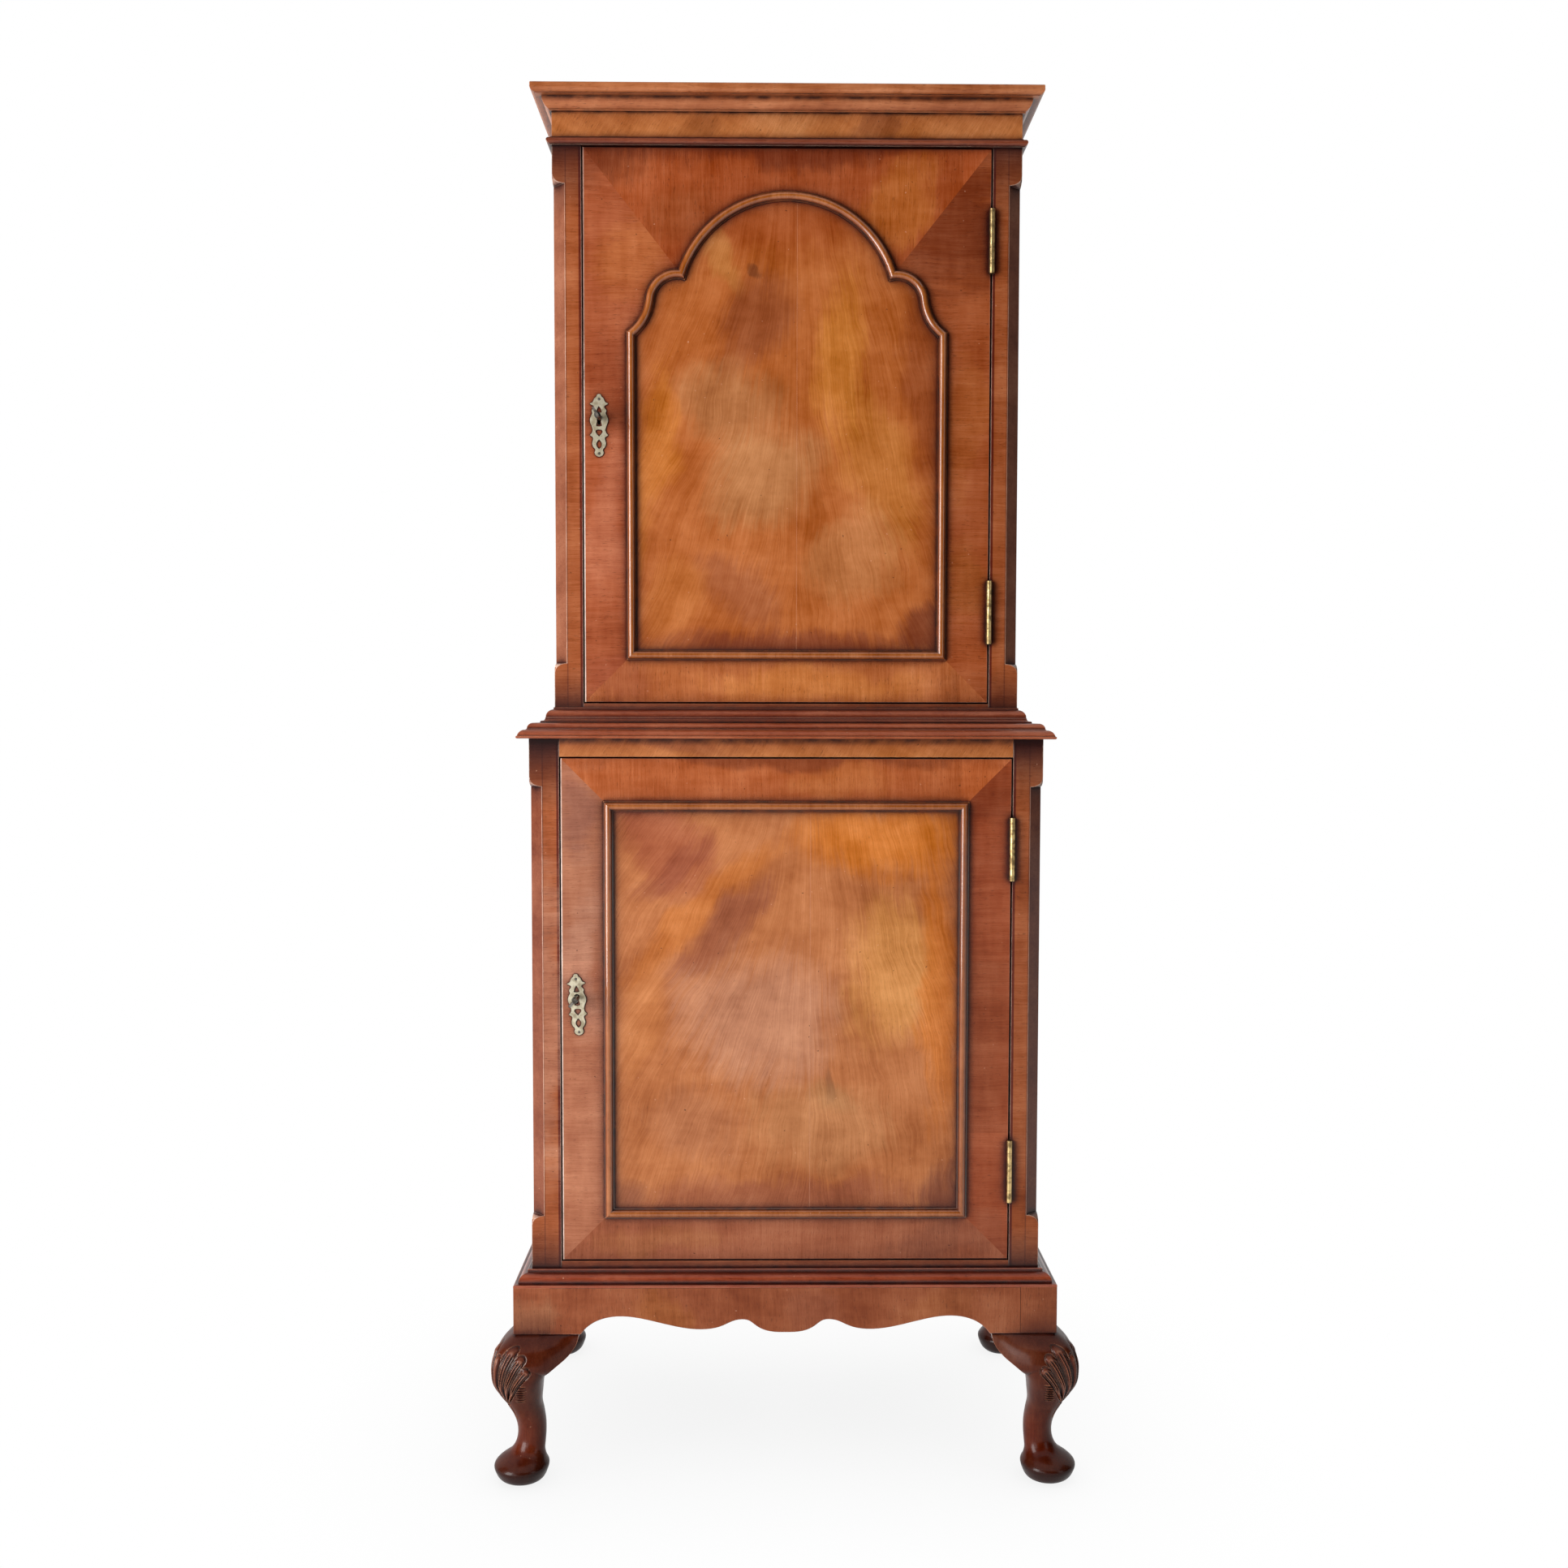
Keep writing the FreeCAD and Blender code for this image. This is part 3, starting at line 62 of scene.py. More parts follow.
def linear(hex_colour: str) -> tuple[float, float, float, float]:
    """Turns an sRGB hex colour into linear light.

    Args:
        hex_colour: six hex digits, with or without a leading hash.
    Returns:
        Red, green, blue and an alpha of one.
    """
    digits = hex_colour.lstrip("#")
    shares = [int(digits[place:place + 2], 16) / 255 for place in (0, 2, 4)]
    light = [s / 12.92 if s <= 0.04045 else ((s + 0.055) / 1.055) ** 2.4 for s in shares]
    return (*light, 1.0)


def add(tree: Tree, kind: str, inputs: Optional[dict] = None, stops: Sequence[tuple] = (),
        **settings: Union[str, bool, int]) -> bpy.types.Node:
    """Adds a node, sets its options, and links or sets its inputs.

    Args:
        tree: the node tree to add to.
        kind: the node's type name.
        inputs: input name or place to a socket, which is linked, or a value, which is set.
        stops: a colour ramp's stops in order, each a place with a hex colour or a grey level.
        settings: the node's own options.
    Returns:
        The new node.
    """
    node = tree.nodes.new(kind)
    for name, value in settings.items():
        setattr(node, name, value)
    for key, value in (inputs or {}).items():
        if isinstance(value, Socket):
            tree.links.new(value, node.inputs[key])
        else:
            node.inputs[key].default_value = value
    if stops:
        elements = node.color_ramp.elements
        while len(elements) < len(stops):
            elements.new(0.5)
        for element, (place, tone) in zip(elements, stops):
            element.position = place
            element.color = linear(tone) if isinstance(tone, str) else (tone, tone, tone, 1.0)
    return node


class Grain(Enum):
    """Which way the fibres run, as the turn and scale that lay local X along them."""

    ACROSS = ((0.0, 0.0, 0.0), (1.0, 1.0, 1.0))
    UPRIGHT = ((0.0, -math.pi / 2, 0.0), (1.0, 1.0, 1.0))
    SLANT = ((0.0, -math.pi / 3, 0.0), (1.0, 1.0, 1.0))
    # Round a corner: X grows along the front and on along the side, and depth is left out.
    ROUND = ((0.0, 0.0, math.pi / 4), (math.sqrt(0.5), 1e4, 1.0))


def blank_material(name: str) -> tuple[Material, Tree]:
    """A new material with an empty node tree.

    Args:
        name: the material's name.
    Returns:
        The material and its tree.
    """
    made = bpy.data.materials.new(name)
    made.use_nodes = True
    made.node_tree.nodes.clear()
    return made, made.node_tree


@dataclass(frozen=True)
class Cloud:
    """A soft patch of lighter or darker tone, in millimetres on the front; most are figure, some are painted
    shade and painted sheen.

    Fields give its middle, half sizes, lean from upright in degrees, colour and strength.
    """

    x: float
    z: float
    wide: float
    high: float
    lean: float
    tone: str
    strength: float


@dataclass(frozen=True)
class WoodFinish:
    """Walnut under old wax and shellac: fibres, growth bands, pores, curl, grime with painted shade in the
    corners and beside recesses, and worn arrises with painted highlights.

    Colours are sRGB hex values, reaches and widths are in millimetres, and the patterns' weights and the
    strengths are shares. Wear and its painted highlight keep to faces towards the wear aim where that is
    given.
    """

    name: str
    tone: str
    contrast: float = 1.0
    roughness: float = 0.42
    specular: float = 0.2
    coat: float = 0.15
    coat_roughness: float = 0.2
    coat_ior: float = 1.5
    edge_coat: float = 1.0
    broad: float = 0.9
    streak: float = 0.7
    streak_width: float = 5.0
    fibre: float = 0.5
    curl: float = 0.35
    pores: float = 0.75
    mottle: float = 0.8
    specks: float = 0.35
    grime_and_shade: str = "1d0c0c"
    grime_and_shade_reach: float = 10.0
    grime_and_shade_strength: float = 0.9
    recess_shade: str = "8e6c72"
    recess_shade_reach: float = 40.0
    wear_and_highlight: str = "cf9474"
    wear_and_highlight_reach: float = 1.2
    wear_and_highlight_strength: float = 0.6
    wear_and_highlight_aim: tuple = ()
    bump: float = 0.06
    clouds: tuple = ()

    def streaked(self, tree: Tree, space: Socket, along: float, across: float, detail: float = 3.0,
                 rough: float = 0.55) -> Socket:
        """Streaks that are so many millimetres along and across the fibres.

        Args:
            tree: the material's node tree.
            space: coordinates with X along the fibres.
            along: a streak's length in millimetres.
            across: a streak's width in millimetres.
            detail: octaves.
            rough: share of each finer octave.
        Returns:
            The pattern, round one half.
        """
        stretched = add(tree, "ShaderNodeVectorMath", {
            0: space, 1: (1 / (along * MM), 1 / (across * MM), 1 / (across * MM)),
        }, operation="MULTIPLY")
        return add(tree, "ShaderNodeTexNoise", {
            "Vector": stretched.outputs["Vector"], "Scale": 1.0, "Detail": detail, "Roughness": rough,
        }).outputs["Fac"]

    def bent(self, tree: Tree, space: Socket, scale: float, reach: tuple[float, float, float]) -> Socket:
        """Moves coordinates about by slow noise.

        Args:
            tree: the material's node tree.
            space: the coordinates.
            scale: noise cells to the metre.
            reach: full swing in metres along each axis.
        Returns:
            The moved coordinates.
        """
        drift = add(tree, "ShaderNodeTexNoise", {"Vector": space, "Scale": scale, "Detail": 3.0})
        centred = add(tree, "ShaderNodeVectorMath", {0: drift.outputs["Color"], 1: (0.5, 0.5, 0.5)},
                      operation="SUBTRACT")
        swing = add(tree, "ShaderNodeVectorMath", {0: centred.outputs["Vector"], 1: reach},
                    operation="MULTIPLY")
        return add(tree, "ShaderNodeVectorMath", {0: space, 1: swing.outputs["Vector"]},
                   operation="ADD").outputs["Vector"]

    def grain_space(self, tree: Tree, grain: Grain, shift: float) -> Socket:
        """Object coordinates with X laid along the fibres and a slow waver added.

        Args:
            tree: the material's node tree.
            grain: which way the fibres run.
            shift: metres to slide the pattern, so that boards differ.
        Returns:
            The coordinate socket.
        """
        place = add(tree, "ShaderNodeTexCoord").outputs["Object"]
        turn, scale = grain.value
        turned = add(tree, "ShaderNodeMapping", {
            "Vector": place, "Rotation": turn, "Scale": scale, "Location": (shift, 0.0, 0.61 * shift),
        }, vector_type="TEXTURE").outputs["Vector"]
        # Fibres wander by up to 8 mm over about 150 mm.
        return self.bent(tree, turned, 7.0, (0.0, 0.016, 0.016))

    def clouded(self, tree: Tree, colour: Tone, fibres: Socket, clouds: Sequence[Cloud]) -> Tone:
        """Lays soft patches over a colour.

        Args:
            tree: the material's node tree.
            colour: the plain colour.
            fibres: coordinates with X along the fibres, which comb the patches into one another.
            clouds: the patches.
        Returns:
            The patched colour.
        """
        if not clouds:
            return colour
        place = add(tree, "ShaderNodeTexCoord").outputs["Object"]
        # Their edges are torn by noise of about 80 mm and finer, and combed by fibres about 90 mm long.
        torn = self.bent(tree, place, 12.0, (0.08, 0.0, 0.08))
        comb = self.streaked(tree, fibres, 90, 7, 5, 0.65)
        ragged = add(tree, "ShaderNodeMath", {0: comb, 1: 0.5}, operation="SUBTRACT").outputs[0]
        # A patch goes right through the wood: its depth of 10 m plays no part.
        for cloud in clouds:
            local = add(tree, "ShaderNodeMapping", {
                "Vector": torn, "Location": (cloud.x * MM, 0.0, cloud.z * MM),
                "Rotation": (0.0, math.radians(cloud.lean), 0.0),
                "Scale": (cloud.wide * MM, 10.0, cloud.high * MM)}, vector_type="TEXTURE").outputs["Vector"]
            glow = add(tree, "ShaderNodeTexGradient", {"Vector": local},
                       gradient_type="SPHERICAL").outputs["Fac"]
            combed = add(tree, "ShaderNodeMath", {0: ragged, 1: 0.9, 2: glow},
                         operation="MULTIPLY_ADD").outputs[0]
            inside = add(tree, "ShaderNodeMath", {0: glow, 1: 4.0}, operation="MULTIPLY",
                         use_clamp=True).outputs[0]
            spread = add(tree, "ShaderNodeMapRange", {
                "Value": combed, "From Min": 0.0, "From Max": 0.65, "To Min": 0.0, "To Max": cloud.strength,
            }, interpolation_type="SMOOTHSTEP").outputs["Result"]
            soft = add(tree, "ShaderNodeMath", {0: spread, 1: inside}, operation="MULTIPLY").outputs[0]
            colour = add(tree, "ShaderNodeMix", {"Factor": soft, "A": colour, "B": linear(cloud.tone)},
                         data_type="RGBA").outputs["Result"]
        return colour

    def base(self, tree: Tree, space: Socket) -> Tone:
        """The wood's plain tone with its patches."""
        return self.clouded(tree, linear(self.tone), space, self.clouds)

    def figure(self, tree: Tree, space: Socket) -> tuple:
        """The wood's colour before grime and wear.

        Args:
            tree: the material's node tree.
            space: coordinates with X along the fibres.
        Returns:
            The colour, and the fibre pattern for bump and gloss.
        """
        place = add(tree, "ShaderNodeTexCoord").outputs["Object"]
        fibre = self.streaked(tree, space, 32, 1.3, 3, 0.6)
        # Mottle is cloudy staining about 70 mm across.
        mottle = add(tree, "ShaderNodeTexNoise", {
            "Vector": place, "Scale": 14.0, "Detail": 5.0, "Roughness": 0.6}).outputs["Fac"]
        value: Union[Socket, float] = 1.0
        # Growth bands are broad, streaks narrow, and curl lies across the fibres.
        for pattern, weight in (
            (self.streaked(tree, space, 320, 36, 3), self.broad),
            (self.streaked(tree, space, 110, self.streak_width, 4), self.streak),
            (fibre, self.fibre),
            (self.streaked(tree, space, 11, 60, 2), self.curl),
            (mottle, self.mottle),
        ):
            centred = add(tree, "ShaderNodeMath", {0: pattern, 1: 0.5}, operation="SUBTRACT").outputs[0]
            value = add(tree, "ShaderNodeMath", {0: centred, 1: weight * self.contrast, 2: value},
                        operation="MULTIPLY_ADD").outputs[0]
        # Paler wood is more golden and less red.
        hue = add(tree, "ShaderNodeMapRange", {
            "Value": value, "From Min": 0.4, "From Max": 1.6, "To Min": 0.49, "To Max": 0.506,
        }).outputs["Result"]
        depth = add(tree, "ShaderNodeMapRange", {
            "Value": value, "From Min": 0.4, "From Max": 1.6, "To Min": 1.1, "To Max": 0.92,
        }).outputs["Result"]
        colour = add(tree, "ShaderNodeHueSaturation", {
            "Hue": hue, "Saturation": depth, "Value": value, "Color": self.base(tree, space),
        }).outputs["Color"]
        # Open pores show as dark dashes about 6 mm long.
        dashes = self.streaked(tree, space, 7, 0.9, 1)
        pores = add(tree, "ShaderNodeValToRGB", {"Fac": dashes}, ((0.27, 0.5), (0.37, 1.0))).outputs["Color"]
        pored = add(tree, "ShaderNodeMix", {"Factor": self.pores, "A": colour, "B": pores},
                    data_type="RGBA", blend_type="MULTIPLY").outputs["Result"]
        return self.specked(tree, pored, place), fibre

    def specked(self, tree: Tree, colour: Socket, place: Socket) -> Socket:
        """Adds pale nicks in the polish and dark wormy dots.

        Args:
            tree: the material's node tree.
            colour: the wood's colour.
            place: object coordinates.
        Returns:
            The specked colour.
        """
        # Marks are about 1 mm, one to each 10 mm, with edges torn by up to 2 mm over about 3 mm.
        ragged = self.bent(tree, place, 350.0, (0.004, 0.004, 0.004))
        cells = add(tree, "ShaderNodeTexVoronoi", {"Vector": ragged, "Scale": 100.0})
        chance = add(tree, "ShaderNodeSeparateColor", {"Color": cells.outputs["Color"]}).outputs["Red"]
        near = add(tree, "ShaderNodeMapRange", {
            "Value": cells.outputs["Distance"], "From Min": 0.05, "From Max": 0.09,
            "To Min": 1.0, "To Max": 0.0}).outputs["Result"]
        for low, high, tone, strength in ((0.0, 0.2, "dba98a", self.specks), (0.8, 1.0, "2a120c", 0.75)):
            picked = add(tree, "ShaderNodeMath", {0: chance, 1: (low + high) / 2, 2: (high - low) / 2},
                         operation="COMPARE").outputs[0]
            spot = add(tree, "ShaderNodeMath", {0: near, 1: picked}, operation="MULTIPLY").outputs[0]
            weak = add(tree, "ShaderNodeMath", {0: spot, 1: strength}, operation="MULTIPLY").outputs[0]
            colour = add(tree, "ShaderNodeMix", {"Factor": weak, "A": colour, "B": linear(tone)},
                         data_type="RGBA").outputs["Result"]
        return colour

    def aged(self, tree: Tree, colour: Socket) -> tuple:
        """Adds dark wax with painted shade in the corners and beside recesses, and rubbed, paler arrises with
        painted highlights.

        Args:
            tree: the material's node tree.
            colour: the clean wood's colour.
        Returns:
            The aged colour, and how far each point is rubbed and painted with a highlight.
        """
        open_sky = add(tree, "ShaderNodeAmbientOcclusion", {"Distance": self.grime_and_shade_reach * MM}, samples=6)
        place = add(tree, "ShaderNodeTexCoord").outputs["Object"]
        # Wax with its painted shade, and rubbing with its painted highlight, come in patches about 15 mm
        # across.
        uneven = add(tree, "ShaderNodeTexNoise", {
            "Vector": place, "Scale": 65.0, "Detail": 4.0}).outputs["Fac"]
        patchy = add(tree, "ShaderNodeMapRange", {
            "Value": uneven, "From Min": 0.35, "From Max": 0.6, "To Min": 0.5, "To Max": 1.0,
        }).outputs["Result"]
        # Painted shade: the colour darkens softly over a few centimetres beside every recess.
        wide_sky = add(tree, "ShaderNodeAmbientOcclusion", {"Distance": self.recess_shade_reach * MM}, samples=6)
        sunk = add(tree, "ShaderNodeMapRange", {
            "Value": wide_sky.outputs["AO"], "From Min": 0.99, "From Max": 0.82, "To Min": 0.0, "To Max": 1.0,
        }).outputs["Result"]
        colour = add(tree, "ShaderNodeMix", {"Factor": sunk, "A": colour, "B": linear(self.recess_shade)},
                     data_type="RGBA", blend_type="MULTIPLY").outputs["Result"]
        # Dark wax and painted shade: the colour goes dark where nearby surfaces close in, within the grime
        # reach.
        shut = add(tree, "ShaderNodeMapRange", {
            "Value": open_sky.outputs["AO"], "From Min": 0.985, "From Max": 0.68, "To Min": 0.0,
            "To Max": self.grime_and_shade_strength}, interpolation_type="SMOOTHSTEP").outputs["Result"]
        dirt_and_shade = add(tree, "ShaderNodeMath", {0: shut, 1: patchy}, operation="MULTIPLY").outputs[0]
        dirty_and_shaded = add(tree, "ShaderNodeMix", {"Factor": dirt_and_shade, "A": colour, "B": linear(self.grime_and_shade)},
                    data_type="RGBA").outputs["Result"]
        # Arrises are painted pale: partly wear, partly a painted highlight of the window.
        rounded = add(tree, "ShaderNodeBevel", {"Radius": self.wear_and_highlight_reach * MM}, samples=4).outputs["Normal"]
        flat = add(tree, "ShaderNodeNewGeometry").outputs["True Normal"]
        turn = add(tree, "ShaderNodeVectorMath", {0: rounded, 1: flat},
                   operation="DOT_PRODUCT").outputs["Value"]
        edge = add(tree, "ShaderNodeMapRange", {
            "Value": turn, "From Min": 0.985, "From Max": 0.85, "To Min": 0.0, "To Max": self.wear_and_highlight_strength,
        }).outputs["Result"]
        if self.wear_and_highlight_aim:
            own = add(tree, "ShaderNodeVectorTransform", {"Vector": rounded}, vector_type="NORMAL",
                      convert_from="WORLD", convert_to="OBJECT").outputs["Vector"]
            faced = add(tree, "ShaderNodeVectorMath", {0: own, 1: self.wear_and_highlight_aim}, operation="DOT_PRODUCT")
            toward = add(tree, "ShaderNodeMapRange", {
                "Value": faced.outputs["Value"], "From Min": 0.1, "From Max": 0.3}).outputs["Result"]
            edge = add(tree, "ShaderNodeMath", {0: edge, 1: toward}, operation="MULTIPLY").outputs[0]
        proud = add(tree, "ShaderNodeMapRange", {
            "Value": open_sky.outputs["AO"], "From Min": 0.75, "From Max": 0.97, "To Min": 0.0, "To Max": 1.0,
        }).outputs["Result"]
        rub_and_highlight = add(tree, "ShaderNodeMath", {0: edge, 1: proud}, operation="MULTIPLY").outputs[0]
        rubbed_and_lit = add(tree, "ShaderNodeMath", {0: rub_and_highlight, 1: patchy}, operation="MULTIPLY").outputs[0]
        worn_and_lit = add(tree, "ShaderNodeMix", {"Factor": rubbed_and_lit, "A": dirty_and_shaded, "B": linear(self.wear_and_highlight)},
                   data_type="RGBA").outputs["Result"]
        return worn_and_lit, rubbed_and_lit

    def shade(self, tree: Tree, colour: Socket, rubbed_and_lit: Socket, fibre: Socket) -> None:
        """Ends the tree in a polished surface.

        Args:
            tree: the material's node tree.
            colour: the aged colour.
            rubbed_and_lit: where the arrises are worn and painted with a highlight; the coat is glossier
                there.
            fibre: the fibre pattern.
        """
        gloss = add(tree, "ShaderNodeMapRange", {
            "Value": rubbed_and_lit, "From Max": 0.5 * self.wear_and_highlight_strength,
            "To Min": self.coat, "To Max": self.edge_coat}).outputs["Result"]
        rough = add(tree, "ShaderNodeMapRange", {
            "Value": fibre, "From Min": 0.25, "From Max": 0.75,
            "To Min": self.roughness - 0.06, "To Max": self.roughness + 0.08}).outputs["Result"]
        relief = add(tree, "ShaderNodeBump", {"Height": fibre, "Strength": self.bump, "Distance": 0.4 * MM})
        surface = add(tree, "ShaderNodeBsdfPrincipled", {
            "Base Color": colour, "Roughness": rough, "IOR": 1.5, "Specular IOR Level": self.specular,
            "Normal": relief.outputs["Normal"], "Coat Weight": gloss, "Coat Roughness": self.coat_roughness,
            "Coat IOR": self.coat_ior,
        })
        add(tree, "ShaderNodeOutputMaterial", {"Surface": surface.outputs["BSDF"]})

    def material(self, grain: Grain, shift: float = 0.0) -> Material:
        """The finish with its fibres one way.

        Args:
            grain: which way the fibres run.
            shift: metres to slide the pattern.
        Returns:
            The material.
        """
        made, tree = blank_material(f"{self.name}_{grain.name.lower()}")
        colour, fibre = self.figure(tree, self.grain_space(tree, grain, shift))
        self.shade(tree, *self.aged(tree, colour), fibre)
        return made


@dataclass(frozen=True)
class PostFinish(WoodFinish):
    """Corner posts veneered across, with a joint beside the corner and a dark string beside the door.

    The post's outer half width, its own width and its ends' heights are in metres. The joint and the string
    are set in from the corner and from the door.
    """

    half: float = 0.308
    width: float = 0.036
    low: float = 0.237
    high: float = 0.898
    joint_inset: float = 0.016
    string_inset: float = 0.0032
    string: str = "5e2415"
    joint: str = "6d3a24"
    chamfer: str = "8a4b2f"
    end: str = "3a1f1e"

    def base(self, tree: Tree, space: Socket) -> Socket:
        """Tone by distance from the outer corner: veneer, joint, veneer, string; painted shade on the chamfer
        and at both ends, and a pale arris line that is partly wear and partly a painted highlight.

        Args:
            tree: the material's node tree.
            space: coordinates with X along the fibres.
        Returns:
            The tone.
        """
        place = add(tree, "ShaderNodeTexCoord").outputs["Object"]
        out = add(tree, "ShaderNodeSeparateXYZ", {"Vector": place}).outputs["X"]
        far = add(tree, "ShaderNodeMath", {0: out}, operation="ABSOLUTE").outputs[0]
        share = add(tree, "ShaderNodeMapRange", {
            "Value": far, "From Min": self.half, "From Max": self.half - self.width}).outputs["Result"]
        joint, string = self.joint_inset / self.width, 1 - self.string_inset / self.width
        front = add(tree, "ShaderNodeValToRGB", {"Fac": share}, (
            (joint - 0.03, self.tone), (joint, self.joint), (joint + 0.03, self.tone),
            (string - 0.02, self.tone), (string, self.string))).outputs["Color"]
        front = self.clouded(tree, front, space, self.clouds)
        facing = add(tree, "ShaderNodeNewGeometry").outputs["Normal"]
        lie = add(tree, "ShaderNodeSeparateXYZ", {"Vector": facing}).outputs
        slant = add(tree, "ShaderNodeMath", {0: lie["X"], 1: lie["Y"]}, operation="MULTIPLY").outputs[0]
        cut = add(tree, "ShaderNodeMath", {0: slant}, operation="ABSOLUTE").outputs[0]
        # Flat faces give 0 here and the chamfer, at 45 degrees, one half.
        on_cut = add(tree, "ShaderNodeMath", {0: cut, 1: 0.45}, operation="GREATER_THAN").outputs[0]
        # Painted shade: the chamfer gets a darker tone than the front.
        cut_tone = add(tree, "ShaderNodeMix", {"Factor": on_cut, "A": front, "B": linear(self.chamfer)},
                       data_type="RGBA").outputs["Result"]
        # The arris between front and chamfer gets a pale line, partly wear and partly a painted highlight,
        # broken about every 40 mm.
        on_arris = add(tree, "ShaderNodeMath", {0: cut, 1: 0.26, 2: 0.14}, operation="COMPARE").outputs[0]
        broken = add(tree, "ShaderNodeTexNoise", {
            "Vector": place, "Scale": 25.0, "Detail": 3.0}).outputs["Fac"]
        kept = add(tree, "ShaderNodeMapRange", {
            "Value": broken, "From Min": 0.35, "From Max": 0.55, "To Min": 0.15, "To Max": 0.85,
        }).outputs["Result"]
        line = add(tree, "ShaderNodeMath", {0: on_arris, 1: kept}, operation="MULTIPLY").outputs[0]
        cut_tone = add(tree, "ShaderNodeMix", {"Factor": line, "A": cut_tone, "B": linear(self.wear_and_highlight)},
                       data_type="RGBA").outputs["Result"]
        # Painted shade darkens both ends, beside the mouldings, and fades out along a line that wanders by up
        # to 20 mm over about 70 mm.
        rise = add(tree, "ShaderNodeSeparateXYZ", {
            "Vector": self.bent(tree, place, 14.0, (0.0, 0.0, 0.04))}).outputs["Z"]
        ends = add(tree, "ShaderNodeMapRange", {"Value": rise, "From Min": self.low, "From Max": self.high})
        dark = add(tree, "ShaderNodeValToRGB", {"Fac": ends.outputs["Result"]}, (
            (0.01, 0.9), (0.1, 0.0), (0.87, 0.0), (0.985, 0.9))).outputs["Color"]
        return add(tree, "ShaderNodeMix", {"Factor": dark, "A": cut_tone, "B": linear(self.end)},
                   data_type="RGBA").outputs["Result"]


@dataclass(frozen=True)
class CarvedFinish(WoodFinish):
    """Dark polished legs whose carving is pale on the crests, from wear and a painted highlight, and black in
    the grooves, from wax and painted shade.
    """

    height: float = LEG_HEIGHT * MM
    ridge: str = "6e3d2b"
    crest: str = "b08068"
    groove: str = "160806"
    ankle: str = "5a220c"
    foot: str = "38180d"

    def base(self, tree: Tree, space: Socket) -> Socket:
        """Tone by height, and by how far the carving stands proud, in millimetres.

        Args:
            tree: the material's node tree.
            space: coordinates with X along the fibres.
        Returns:
            The tone.
        """
        place = add(tree, "ShaderNodeTexCoord").outputs["Object"]
        rise = add(tree, "ShaderNodeSeparateXYZ", {"Vector": place}).outputs["Z"]
        share = add(tree, "ShaderNodeMapRange", {"Value": rise, "From Max": self.height}).outputs["Result"]
        colour = add(tree, "ShaderNodeValToRGB", {"Fac": share}, (
            (0.1, self.foot), (0.2, self.ankle), (0.36, self.ankle), (0.52, self.tone))).outputs["Color"]
        proud = add(tree, "ShaderNodeAttribute", attribute_name="relief").outputs["Fac"]
        # Grooves are painted black as wax and painted shade; raised parts are painted paler as wear and
        # painted highlight.
        for start, end, tone, strength in (
            (-0.1, -0.9, self.groove, 1.0), (0.5, 1.7, self.ridge, 0.85), (1.8, 2.6, self.crest, 0.9),
        ):
            there = add(tree, "ShaderNodeMapRange", {
                "Value": proud, "From Min": start, "From Max": end, "To Max": strength}).outputs["Result"]
            colour = add(tree, "ShaderNodeMix", {"Factor": there, "A": colour, "B": linear(tone)},
                         data_type="RGBA").outputs["Result"]
        return colour


